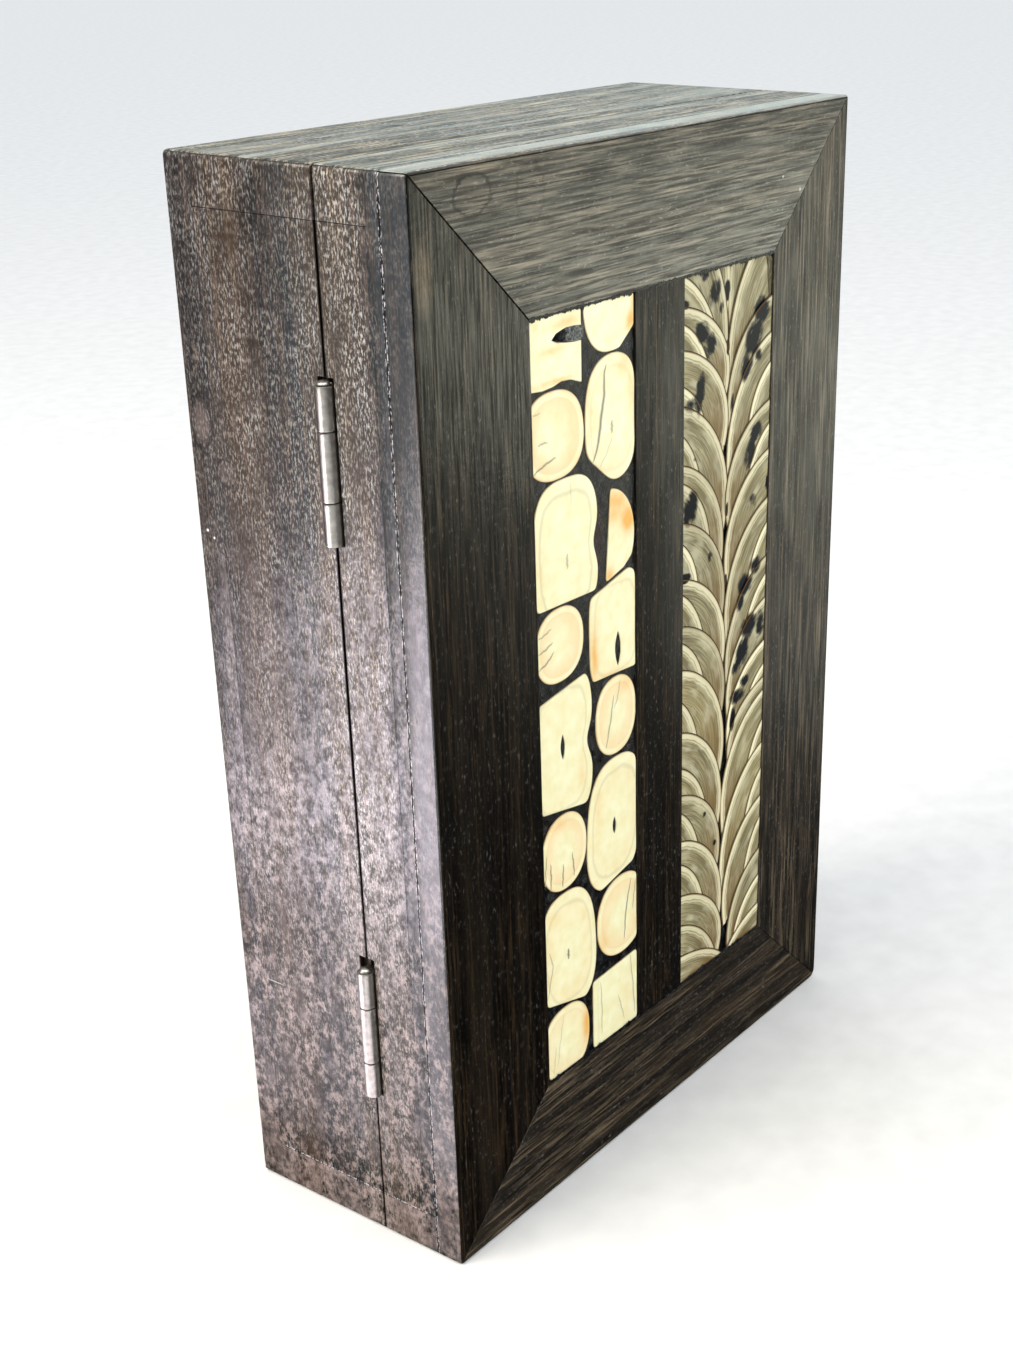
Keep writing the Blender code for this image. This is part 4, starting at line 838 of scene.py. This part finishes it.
def add_board(node, name, finish, radii, grow, rounds):
    """A plain board in its solid's place, grown into its tight joints, with eased edges.

    grow gives how far the board reaches past its solid at -Y, +Y, -Z and +Z, and rounds give how
    far its front and back edges are eased.
    """
    low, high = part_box(node)
    outline = rounded_rectangle((low.x, high.x), (low.z - grow[2], high.z + grow[3]), radii)
    shape = board_mesh(outline, rounds[0], low.y - grow[0], high.y + grow[1], *rounds)
    dress_outside(make_piece(name, shape, node.split("_")[0], finish, node), finish)


def add_walls(body, sizes, rounds):
    """The case's or the lid's walls: three boards, and the hinge side's solid with soft edges."""
    close, small = sizes.close_up, sizes.edge_round * 0.5
    for side, kind, finish, radii, grow in (
            ("opening", "side", "inside", small, (0, 0, close, close)),
            ("top", "end", "inside_cross", (small, small, *CORNER_RADII[2:]), (0, 0, close, 0)),
            ("bottom", "end", "inside_cross", (*CORNER_RADII[:2], small, small), (0, 0, 0, close))):
        add_board(f"{body}_{side}_{kind}_board", f"{body}_{side}_wall_lacquered", finish, radii, grow,
                  rounds)
    # The solid's loose triangles are welded, then bevelled where they fold
    wall = dress(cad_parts[f"{body}_hinge_side_board"], "wall")
    wall.modifiers.new("weld", "WELD").merge_threshold = 2e-6
    bevel = wall.modifiers.new("soft edges", "BEVEL")
    bevel.width, bevel.segments = sizes.edge_round * 0.35, 2
    bevel.limit_method, bevel.angle_limit = "ANGLE", math.radians(40)


class HUMIDOR_OT_case_boards(bpy.types.Operator):
    """Make the case's boards: the floor, the walls and their eased edges"""
    bl_idname = "humidor.case_boards"
    bl_label = "Case boards"

    def execute(self, context):
        sizes = context.scene.humidor_sizes
        edge = sizes.edge_round
        add_board("case_floor_board", "floor_board_lacquered", "inside", CORNER_RADII,
                  (sizes.close_up * 2.5, 0, 0, 0), (edge * 0.1, sizes.face_round))
        add_walls("case", sizes, (edge, edge * 0.2))
        return {"FINISHED"}


class HUMIDOR_OT_lid_boards(bpy.types.Operator):
    """Make the lid's rim boards and its backing board"""
    bl_idname = "humidor.lid_boards"
    bl_label = "Lid boards"

    def execute(self, context):
        sizes = context.scene.humidor_sizes
        close, edge = sizes.close_up, sizes.edge_round
        add_walls("lid", sizes, (edge * 0.2, edge))
        add_board("lid_backing_board", "lid_backing_lacquered", "inside", CORNER_RADII,
                  (close * 0.5, close * 2.5, 0, 0), (edge * 0.3, edge * 0.1))
        return {"FINISHED"}


class HUMIDOR_OT_lid_frame(bpy.types.Operator):
    """Make the four mitred members of the lid's frame and the divider between the inlays"""
    bl_idname = "humidor.lid_frame"
    bl_label = "Lid frame"

    def execute(self, context):
        sizes = context.scene.humidor_sizes
        tight, open_mitre = FIT / 2 - sizes.close_up * 0.85, sizes.mitre_gap / 2
        outer = rounded_rectangle((HINGE_FACE, OPENING_FACE), (0.0, HEIGHT), CORNER_RADII, steps=8)
        corners = outer.reshape(4, 9, 2)
        inner = np.array([(TUSK_LEFT, PANEL_LOW), (HORN_RIGHT, PANEL_LOW), (HORN_RIGHT, PANEL_HIGH),
                          (TUSK_LEFT, PANEL_HIGH)])
        # Members in the order of the sides, each with half its gap at its first and last mitre
        for side, (member, finish, first_gap, last_gap) in enumerate((
                ("bottom_rail", "rail", tight, tight), ("opening_stile", "stile_light", tight, tight),
                ("top_rail", "rail", tight, open_mitre), ("hinge_stile", "stile_dark", open_mitre, tight))):
            after = (side + 1) % 4
            outline = np.concatenate([corners[side, 4:], corners[after, :5], inner[[after, side]]])
            gaps, insets = np.zeros(len(outline)), np.full(len(outline), sizes.face_round)
            gaps[[-3, -1]] = last_gap, first_gap
            insets[-3:] = sizes.edge_round * 0.25
            shape = board_mesh(moved_sides(outline, gaps), insets, FRONT, FRAME_BACK, sizes.face_round,
                               sizes.edge_round * 0.3, lip=0.2 * MM)
            node = "frame_" + member
            # On the frame the top faces take the painted highlight
            dress_outside(make_piece(node + "_lacquered", shape, "lid", finish, node), finish,
                          top="top_edge")
        low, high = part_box("frame_divider")
        z_span = (low.z - sizes.close_up, high.z + sizes.close_up)
        outline = rounded_rectangle((low.x, high.x), z_span, 0.2 * MM)
        shape = board_mesh(outline, 0.15 * MM, FRONT, FRAME_BACK, 0.15 * MM, 0.1 * MM)
        make_piece("frame_divider_lacquered", shape, "lid", "divider", "frame_divider")
        return {"FINISHED"}


def tusk_level(piece, across, up):
    """How far out a point lies in a slice, from 0 in the middle to 1 on the grown rim.

    A superellipse: the shares of the half width and half height, each to the squareness, summed
    and its root taken. On the hollow side the share is stretched by the depth of the hollow.
    """
    rise = up - piece.up
    out = across - piece.across - piece.lean * rise
    tall = np.abs(rise / piece.half_height) ** piece.square
    width = np.full_like(out, piece.half_width)
    if piece.waist:
        depth, height = piece.waist
        full = np.clip(1 - tall, 1e-3, 1) ** (1 / piece.square) * piece.half_width
        hollow = depth * np.exp(-((up - height) / WAIST_SPREAD) ** 2)
        width = np.where(out > 0, width * np.clip((full - hollow) / full, 0.2, 1), width)
    return (np.abs(out / width) ** piece.square + tall) ** (1 / piece.square)


def ray_reach(inside, origin, angles, far):
    """How far each ray from the origin runs before it leaves a shape, by halving the span."""
    near, beyond = np.zeros(len(angles)), np.full(len(angles), float(far))
    for _ in range(30):
        middle = (near + beyond) / 2
        kept = inside(origin[0] + middle * np.cos(angles), origin[1] + middle * np.sin(angles))
        near, beyond = np.where(kept, middle, near), np.where(kept, beyond, middle)
    return near


def soften_round(values, spread):
    """Values around a closed curve, each averaged with its neighbours under a bell-shaped weight."""
    away = np.arange(len(values))
    away = np.minimum(away, len(values) - away)
    weight = np.exp(-0.5 * (away / spread) ** 2)
    return np.fft.irfft(np.fft.rfft(values) * np.fft.rfft(weight / weight.sum()), len(values))


def tusk_curves(piece, count=224):
    """A slice's edge and its slit's edge, as points at the same angles about its middle."""
    def inside(across, up):
        kept = tusk_level(piece, across, up) < 1
        kept &= (across > MARGIN) & (across < PANEL_WIDE - MARGIN)
        kept &= (up > MARGIN) & (up < PANEL_TALL - MARGIN)
        for (x0, z0), (x1, z1) in piece.cuts:
            kept &= (x1 - x0) * (up - z0) - (z1 - z0) * (across - x0) > 0
        return kept

    angles = np.arange(count) / count * 2 * math.pi
    ways = np.stack([np.cos(angles), np.sin(angles)], axis=1)
    far = 70
    hole = np.full(count, 1e-4)
    if piece.slit:
        middle, (half_width, half_height) = np.array(piece.slit[:2]), piece.slit[2:]

        def in_slit(across, up):
            rise = np.clip((up - middle[1]) / half_height, -1, 1)
            return np.abs(across - middle[0]) < half_width * np.cos(rise * math.pi / 2) ** 0.8

        hole = ray_reach(in_slit, middle, angles, half_height)
    else:
        inset = 4.0
        middle = np.clip([piece.across, piece.up], inset, (PANEL_WIDE - inset, PANEL_TALL - inset))
        for _ in range(2):
            edge = middle + ray_reach(inside, middle, angles, far)[:, None] * ways
            middle = (edge.min(axis=0) + edge.max(axis=0)) / 2
    reach = soften_round(ray_reach(inside, middle, angles, far), piece.soft)
    return middle + hole[:, None] * ways, middle + reach[:, None] * ways


def even_points(path, count):
    """Points evenly spaced along a path of straight runs."""
    path = np.array(path, float)
    distance = np.concatenate([[0], np.cumsum(np.linalg.norm(np.diff(path, axis=0), axis=1))])
    even = np.linspace(0, distance[-1], count)
    return np.stack([np.interp(even, distance, path[:, 0]), np.interp(even, distance, path[:, 1])], axis=1)


def tusk_fields(piece, places, margin, crack):
    """The slice's colour fields at points: growth level, how far in they are, strengths and stains.

    A stain is a bell over its middle, as wide and as high as its radii.
    """
    across, up = places[..., 0], places[..., 1]
    stain = np.zeros_like(across)
    for x, z, wide, high, strength in piece.stains:
        stain += strength * np.exp(-((across - x) / wide) ** 2 - ((up - z) / high) ** 2)
    return {"growth": tusk_level(piece, across, up), "peach": np.full_like(across, piece.peach),
            "ring": np.full_like(across, piece.ring), "stain": stain, "margin": margin, "crack": crack}


def tusk_mesh(inner, outer, hollow, closed, sizes, rows=16):
    """A slice between its slit (or middle) and its edge, as rows across and columns around.

    The face runs from the inner curve to the outer one and swells by the crown times one minus the
    square of the way out. A quarter circle rounds it into the wall, and the back closes it.
    """
    run = np.linalg.norm(outer - inner, axis=1, keepdims=True)
    way = (outer - inner) / np.maximum(run, 1e-6)
    soft = np.minimum(sizes.tusk_edge / MM, run * 0.4)
    share = np.insert(np.linspace(0, 1, rows - 1), 1, 0.02)[:, None, None]
    turn = np.linspace(0, math.pi / 2, 5)[1:, None, None]
    places = np.concatenate([inner + way * (run - soft) * share,
                             inner + way * (run - soft + soft * np.sin(turn)), np.stack([outer, inner])])
    face_depth = np.broadcast_to(-sizes.tusk_crown / MM * (1 - share[..., 0] ** 2), (rows, len(outer)))
    if hollow:
        face_depth = face_depth + np.clip(1 - share[..., 0] * run[:, 0] / 0.35, 0, 1) ** 2 * 0.35
    round_depth = soft[:, 0] * (1 - np.cos(turn[..., 0]))
    back_depth = np.full((2, len(outer)), (SLICE_BACK - SLICE_FACE) / MM)
    depth = np.concatenate([face_depth, round_depth, back_depth])
    return places, depth, grid_faces(len(places), len(outer), around=closed, across=hollow)


def crack_ribbon(piece, crack, sizes, number, columns=28):
    """A hairline crack: a ribbon along its path, tapering to both ends, darkest in its middle.

    Its half width is the crack's times the square root of the sine along it, and it lies on the
    slice's crowned face.
    """
    width, darkness, points = crack
    path = even_points(np.reshape(points, (-1, 2)), columns)
    along = np.linspace(0, 1, columns)
    ahead = np.gradient(path, axis=0)
    normal = np.stack([-ahead[:, 1], ahead[:, 0]], axis=1) / np.linalg.norm(ahead, axis=1)[:, None]
    sway = np.sin(along * 17 + number * 2.3) * 0.12 + np.sin(along * 41 + number) * 0.06
    half = width * 1.15 * np.sqrt(np.sin(along * math.pi).clip(0.0, 1.0)) + 0.02
    places = path + normal * sway[:, None] + normal * (half * [[-1.0], [0.0], [1.0]])[..., None]
    level = tusk_level(piece, places[..., 0], places[..., 1]).clip(0, 1)
    depth = -sizes.tusk_crown / MM * (1 - level ** 2) - 0.03
    return places, depth, [[0.0], [1.0], [0.0]] * np.full(columns, darkness)


def tusk_place(places, depth):
    """The panel's millimetres to metres in the frame."""
    x, z = TUSK_LEFT + places[..., 0] * MM, PANEL_LOW + places[..., 1] * MM
    return np.stack([x, SLICE_FACE + depth * MM, z], axis=-1)


class HUMIDOR_OT_tusk_inlay(bpy.types.Operator):
    """Make the sixteen tusk slices with their rings, stains and cracks"""
    bl_idname = "humidor.tusk_inlay"
    bl_label = "Tusk inlay"

    def execute(self, context):
        sizes = context.scene.humidor_sizes
        for piece in TUSK_SLICES:
            if piece.name == "a1":
                inner, outer = even_points(SLOT_EDGE, 160), even_points(BLOCK_EDGE, 160)
                hollow, closed = True, False
            else:
                inner, outer = tusk_curves(piece)
                hollow, closed = piece.slit is not None, True
            places, depth, faces = tusk_mesh(inner, outer, hollow, closed, sizes)
            crack = np.zeros(depth.shape)
            crack[[0, -1]] = float(hollow)
            shapes = [(tusk_place(places, depth), faces)]
            fields = [tusk_fields(piece, places, np.linalg.norm(outer - places, axis=-1), crack)]
            for number, row in enumerate(piece.cracks):
                places, depth, dark = crack_ribbon(piece, row, sizes, number)
                shapes.append((tusk_place(places, depth), grid_faces(*depth.shape, around=False)))
                fields.append(tusk_fields(piece, places, np.full(depth.shape, 5.0), dark))
            make_piece(f"tusk_{piece.name}_polished", join_meshes(shapes), "lid", "tusk",
                       f"tusk_slice_{piece.name}", join_fields(fields), smooth=50)
        return {"FINISHED"}


def horn_mottle(across, up):
    """How dark the horn is at points: the strongest of a set of tilted bell-shaped clouds."""
    dark = np.zeros_like(across)
    for x, z, wide, high, tilt, strength in MOTTLES:
        turn = math.radians(tilt)
        right = (across - x) * math.cos(turn) + (up - z) * math.sin(turn)
        rise = -(across - x) * math.sin(turn) + (up - z) * math.cos(turn)
        dark = np.maximum(dark, strength * np.exp(-(right / wide) ** 2 - (rise / high) ** 2))
    return dark


def horn_mesh(rim, mirrored, sizes, columns=56):
    """One crescent slice: rows go in from its rim, columns run along it from the side to the tip.

    A row is an arc of an ellipse about a middle that lies RIM_LEAD outside the panel, its half
    sizes shrunk by the row's depth. The arc starts where it leaves the panel's side or top and
    ends past its widest point, where the crescent narrows to a tip. The face sinks with the height
    below its start, by the horn slope, so that each slice lies over the ones above it.
    """
    ceiling = PANEL_TALL - MARGIN
    middle = rim.start - rim.drop
    half_across = rim.reach + RIM_LEAD + (SPINE_LAP if rim.reach > LONG_REACH else 0.0)
    half_up = rim.drop / math.sqrt(1 - (RIM_LEAD / half_across) ** 2)
    deepest = rim.reach - 1.0
    inward = np.concatenate([[-0.35, -0.02, 0.0, 0.12, 0.3], np.linspace(0.9, 8.0, 11),
                             np.linspace(9.5, deepest, 7) if deepest > 11 else []])
    inward = inward[inward <= deepest][:, None]
    first = np.minimum(np.arccos(np.clip((MARGIN + RIM_LEAD) / (half_across - inward), 0, 1)),
                       np.arcsin(np.clip((ceiling - middle) / (half_up - inward), -1, 1)))
    last = np.maximum(TIP_ANGLE, np.arcsin(np.clip((MARGIN - middle) / (half_up - inward), -1, 1)))
    last = np.minimum(last, first - 1e-4)
    share = np.linspace(0, 1, columns)[None, :]
    angle = first + (last - first) * share
    taper = np.clip((angle - TIP_ANGLE) / 0.45, 0.02, 1) ** 0.7
    deep = np.where(inward > 0, inward * taper, inward)
    up = np.clip(middle + (half_up - deep) * np.sin(angle), MARGIN, ceiling)
    spine = HORN_WIDTH - HORN_SPINE if mirrored else HORN_SPINE
    across = np.clip((half_across - deep) * np.cos(angle) - RIM_LEAD, MARGIN, spine + SPINE_ROOM)
    edge = np.where(inward < 0, 0.10, 0.10 * np.clip(1 - inward / 0.3, 0, 1) ** 2)
    depth = sizes.horn_slope * (rim.start - up) + edge + 0.004 * np.clip(inward, 0, 8)
    if mirrored:
        across = HORN_WIDTH - across
    # The back follows the face row by row, a sheet's thickness behind it
    places = np.stack([across, up], axis=-1)
    places = np.concatenate([places, places[::-1]])
    depths = np.concatenate([depth, depth[::-1] + sizes.horn_sheet / MM])
    fields = {
        "depth": np.concatenate([deep, deep]),
        "along": np.concatenate([angle * (half_across + half_up) / 2] * 2),
        "tip": np.broadcast_to(share, depths.shape),
        "warm": np.full(depths.shape, rim.warm),
        "pale": np.full(depths.shape, 0.25 + 0.75 * rim.pale),
        "mottle": horn_mottle(places[..., 0], places[..., 1]),
    }
    faces = grid_faces(len(places), columns, around=False, across=True)
    first_end, last_end = ([row * columns + at for row in range(len(places))] for at in (0, columns - 1))
    return places, depths, faces + [first_end, last_end[::-1]], fields


class HUMIDOR_OT_horn_inlay(bpy.types.Operator):
    """Make the two rows of lapped horn slices"""
    bl_idname = "humidor.horn_inlay"
    bl_label = "Horn inlay"

    def execute(self, context):
        for side, (rims, counts) in HORN_ROWS.items():
            rims = iter(rims)
            for number, count in enumerate(counts, 1):
                shapes, fields = [], []
                for _ in range(count):
                    places, depth, faces, more = horn_mesh(Rim(*next(rims)), side == "opening_side",
                                                           context.scene.humidor_sizes)
                    x = HORN_LEFT + places[..., 0] * (HORN_RIGHT - HORN_LEFT) / HORN_WIDTH
                    y, z = HORN_FACE + depth * MM, PANEL_LOW + places[..., 1] * MM
                    shapes.append((np.stack([x, y, z], axis=-1), faces))
                    fields.append(more)
                make_piece(f"horn_{side}_{number}_polished", join_meshes(shapes), "lid", "horn",
                           f"horn_slices_{side}_{number}", join_fields(fields), smooth=60)
        return {"FINISHED"}


def tusk_bed_mesh(columns=90, rows=430):
    """The resin bed under the tusk slices: a depth over a grid across and up, closed at the back.

    The depth is 0.8 mm plus two crossed sine ripples. In the top slice's slot a bell-shaped mound
    of filler rises to the face, and at the slot's tip a bell-shaped hole goes down.
    """
    width, height = (BED_HIGH.x - BED_LOW.x) / MM, (BED_HIGH.z - BED_LOW.z) / MM
    across, up = np.meshgrid(np.linspace(0, width, columns), np.linspace(0, height, rows))
    depth = 0.8 + 0.09 * np.sin(across * 0.9 + 2.0 * np.sin(up * 0.23)) * np.sin(up * 0.61 + across * 0.17)
    above_slot = (up - 273.7) / 3.0
    filler = np.exp(-((across - 23.4) / 5.0) ** 6 - above_slot ** 6)
    tip = np.exp(-((across - 14.2) / 3.2) ** 4 - above_slot ** 4)
    depth = depth - 0.45 * filler * (0.8 + 0.2 * np.sin(across * 3.1) * np.sin(up * 2.7)) + 3.0 * tip
    red = 0.8 * np.exp(-((across - 34.5) / 3.2) ** 4 - ((up - 201.0) / 12.0) ** 4)
    front = np.stack([BED_LOW.x + across * MM, FRONT + depth * MM, BED_LOW.z + up * MM], axis=-1)
    back = front[:, [-1, 0]].copy()
    back[..., 1] = FRAME_BACK
    last = (rows - 1) * (columns + 2)
    faces = grid_faces(rows, columns + 2)
    faces += [list(range(columns + 2)), list(range(last, last + columns + 2))]
    # Two more columns of zeros for the back
    more = ((0, 0), (0, 2))
    fields = {"filler": np.pad(filler - tip, more), "red": np.pad(red, more)}
    return np.concatenate([front, back], axis=1), faces, fields


def seam_mesh(height, seed, columns=420, sides=12):
    """A ragged seam of resin along a rail's inner edge: its half width wavers along it.

    The half width is 0.34 mm plus the positive parts of three sine waves of unlike lengths, and
    across the seam the surface is a low half circle.
    """
    along = np.linspace(TUSK_LEFT - 0.4 * MM, HORN_RIGHT + 0.4 * MM, columns)[:, None]
    reach = along / MM
    wave = (np.sin(reach * 0.71 + seed).clip(0) + np.sin(reach * 1.93 + 2.1 * seed).clip(0)
            + np.sin(reach * 4.7 + 0.7 * seed).clip(0) ** 3)
    half = (0.34 + 0.55 * wave * (0.35 + 0.65 * np.sin(reach * 0.13 + seed) ** 2)) * MM
    turn = np.linspace(0, 2 * math.pi, sides, endpoint=False)[None, :]
    y = FRONT + 0.12 * MM - 0.18 * MM * np.sin(turn)
    points = np.stack(np.broadcast_arrays(along, y, height + half * np.cos(turn)), axis=-1)
    ends = [list(range(start, start + sides)) for start in (0, (columns - 1) * sides)]
    return points, grid_faces(columns, sides) + ends


class HUMIDOR_OT_resin_beds(bpy.types.Operator):
    """Make the black resin that the inlays lie in, and its seams along the rails"""
    bl_idname = "humidor.resin_beds"
    bl_label = "Resin beds"

    def execute(self, context):
        *shape, fields = tusk_bed_mesh()
        make_piece("resin_bed_hinge_side_poured", shape, "lid", "resin", "resin_bed_hinge_side", fields)
        x_span, z_span = (FEATHER_LOW.x, FEATHER_HIGH.x), (FEATHER_LOW.z, FEATHER_HIGH.z)
        outline = rounded_rectangle(x_span, z_span, 0.2 * MM)
        shape = board_mesh(outline, 0.1 * MM, HORN_BED, FRAME_BACK, 0.1 * MM, 0.1 * MM)
        make_piece("resin_bed_opening_side_poured", shape, "lid", "resin", "resin_bed_opening_side")
        for name, height, seed in (("upper", PANEL_HIGH, 1.0), ("lower", PANEL_LOW, 4.0)):
            make_piece(f"resin_seam_{name}", seam_mesh(height, seed), "lid", "resin")
        return {"FINISHED"}


def knuckle_profile(tall, soft=0.3 * MM):
    """A knuckle's wall as radii and heights, its rims eased, with rings that keep its side's shading."""
    rim = [(BORE, 0), (BARREL - soft, 0), (BARREL - soft * 0.3, soft * 0.3), (BARREL, soft),
           (BARREL, soft * 1.6)]
    return rim + [(radius, tall - height) for radius, height in rim[::-1]]


class HUMIDOR_OT_hinges(bpy.types.Operator):
    """Make both butt hinges: leaves, knuckles and domed pins"""
    bl_idname = "humidor.hinges"
    bl_label = "Hinges"

    def execute(self, context):
        for place, outer_body in (("upper", "lid"), ("lower", "case")):
            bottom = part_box(f"{place}_hinge_pin")[0].z - FIT
            first = (bottom, bottom + OUTER_KNUCKLE)
            middle = (first[1] + FIT, first[1] + FIT + MIDDLE_KNUCKLE)
            last = (middle[1] + FIT, middle[1] + FIT + OUTER_KNUCKLE)
            for body, y_span in LEAF_SPANS.items():
                node = f"{place}_hinge_{body}_leaf"
                plate = rounded_rectangle((PLATE_X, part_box(node)[1].x), (bottom, last[1]), 0.4 * MM)
                parts = [board_mesh(plate, 0.2 * MM, *y_span, 0.2 * MM, 0.2 * MM)]
                for low, high in (first, last) if body == outer_body else (middle,):
                    tab = rounded_rectangle((TAB_X, PLATE_X + 0.5 * MM), (low, high), 0.1 * MM)
                    parts.append(board_mesh(tab, 0.1 * MM, *y_span, 0.1 * MM, 0.1 * MM))
                    parts.append(lathe_mesh(knuckle_profile(high - low), (PIN_X, PIN_Y, low), closed=True))
                make_piece(f"{place}_{body}_leaf_nickel", join_meshes(parts), body, "nickel", node)
            top = last[1] - bottom + FIT
            dome = [(DOME * math.cos(turn), top + DOME_RISE * math.sin(turn))
                    for turn in np.linspace(0, math.pi / 2, 9)]
            soft = 0.2 * MM
            pin = [(0.0, FIT), (PIN - soft, FIT), (PIN, FIT + soft), (PIN, top)] + dome
            make_piece(f"{place}_pin_nickel", lathe_mesh(pin, (PIN_X, PIN_Y, bottom)), "case", "nickel",
                       f"{place}_hinge_pin")
        return {"FINISHED"}


class HUMIDOR_OT_studio(bpy.types.Operator):
    """Make the pale floor, the soft lights and the camera"""
    bl_idname = "humidor.studio"
    bl_label = "Studio"

    def execute(self, context):
        scene = context.scene
        radius = np.array([0.0, 0.6, 1.5, 4.0, 14.0])[:, None]
        turn = np.arange(64)[None, :] / 64 * 2 * math.pi
        x, y = radius * np.cos(turn), radius * np.sin(turn)
        points = np.stack([x, y, np.full_like(x, -0.2 * MM)], axis=-1)
        mesh = bpy.data.meshes.new("paper_floor")
        mesh.from_pydata(points.reshape(-1, 3).tolist(), [], grid_faces(5, 64))
        floor = bpy.data.objects.new("paper_floor", mesh)
        scene.collection.objects.link(floor)
        dress(floor, "paper").visible_glossy = False

        # Reflections see a dim sky over a dark ground, so that the dark lacquer stays dark
        scene.world = bpy.data.worlds.new("studio")
        scene.world.use_nodes = True
        add = partial(add_node, scene.world.node_tree)
        rise = add("SeparateXYZ", add("TexCoord").outputs["Generated"]).outputs["Z"]
        seen = add("MapRange", rise, -0.15, 0.35, 0.02, 0.40)
        sky = add("MapRange", add("LightPath").outputs["Is Glossy Ray"], 0, 1, 1, seen)
        fill(scene.world.node_tree.nodes["Background"], {"Color": (0.93, 0.96, 1.0), "Strength": sky})
        scene.view_settings.view_transform = "Standard"

        for row in LAMPS:
            data = bpy.data.lights.new(row.name, "AREA")
            data.shape, data.energy, data.color = "RECTANGLE", row.watts, linear(row.colour)
            data.size, data.size_y = row.size
            lamp = bpy.data.objects.new(row.name, data)
            lamp.location = row.place
            towards = Vector(row.aim or (*row.place[:2], 1.0)) - Vector(row.place)
            lamp.rotation_euler = towards.to_track_quat("-Z", "Y").to_euler()
            lamp.visible_camera, lamp.visible_diffuse, lamp.visible_glossy = False, row.diffuse, row.glossy
            scene.collection.objects.link(lamp)

        ahead = Vector((math.sin(CAMERA_YAW) * math.cos(CAMERA_PITCH),
                        math.cos(CAMERA_YAW) * math.cos(CAMERA_PITCH), -math.sin(CAMERA_PITCH)))
        level = Vector((math.cos(CAMERA_YAW), -math.sin(CAMERA_YAW), 0.0))
        upright = level.cross(ahead)
        right = level * math.cos(CAMERA_ROLL) + upright * math.sin(CAMERA_ROLL)
        above = upright * math.cos(CAMERA_ROLL) - level * math.sin(CAMERA_ROLL)
        turned = Matrix((right, above, -ahead)).transposed()
        camera = bpy.data.objects.new("camera", bpy.data.cameras.new("camera"))
        camera.matrix_world = Matrix.Translation(Vector(CAMERA_PLACE) * MM) @ turned.to_4x4()
        width, height = FRAME_SIZE
        camera.data.sensor_width = SENSOR
        camera.data.lens = FOCAL * SENSOR / height
        camera.data.shift_x = (width / 2 - FRAME_MIDDLE[0]) / height
        camera.data.shift_y = (FRAME_MIDDLE[1] - height / 2) / height
        camera.data.clip_start = 0.01
        scene.collection.objects.link(camera)
        scene.camera = camera
        return {"FINISHED"}


class HUMIDOR_PT_panel(bpy.types.Panel):
    """Lists the steps and the settings"""
    bl_idname = "HUMIDOR_PT_panel"
    bl_label = "Cigar Humidor"
    bl_space_type = "VIEW_3D"
    bl_region_type = "UI"
    bl_category = "Humidor"

    def draw(self, context):
        for step in STEPS:
            self.layout.operator(step.bl_idname)
        for group in (context.scene.humidor_sizes, context.scene.humidor_colours):
            column = self.layout.column(align=True)
            for key in type(group).__annotations__:
                column.prop(group, key)


STEPS = (HUMIDOR_OT_case_boards, HUMIDOR_OT_lid_boards, HUMIDOR_OT_lid_frame, HUMIDOR_OT_tusk_inlay,
         HUMIDOR_OT_horn_inlay, HUMIDOR_OT_resin_beds, HUMIDOR_OT_hinges, HUMIDOR_OT_studio)
CLASSES = (HumidorSizes, HumidorColours, *STEPS, HUMIDOR_PT_panel)


def register():
    """Register the classes and hang the settings on the scene."""
    for cls in CLASSES:
        bpy.utils.register_class(cls)
    bpy.types.Scene.humidor_sizes = bpy.props.PointerProperty(type=HumidorSizes)
    bpy.types.Scene.humidor_colours = bpy.props.PointerProperty(type=HumidorColours)


def unregister():
    """Take the settings and the classes away again."""
    del bpy.types.Scene.humidor_sizes
    del bpy.types.Scene.humidor_colours
    for cls in reversed(CLASSES):
        bpy.utils.unregister_class(cls)


def main():
    """Build every piece in order."""
    register()
    bpy.ops.humidor.case_boards()
    bpy.ops.humidor.lid_boards()
    bpy.ops.humidor.lid_frame()
    bpy.ops.humidor.tusk_inlay()
    bpy.ops.humidor.horn_inlay()
    bpy.ops.humidor.resin_beds()
    bpy.ops.humidor.hinges()
    bpy.ops.humidor.studio()


if __name__ == "__main__":
    main()
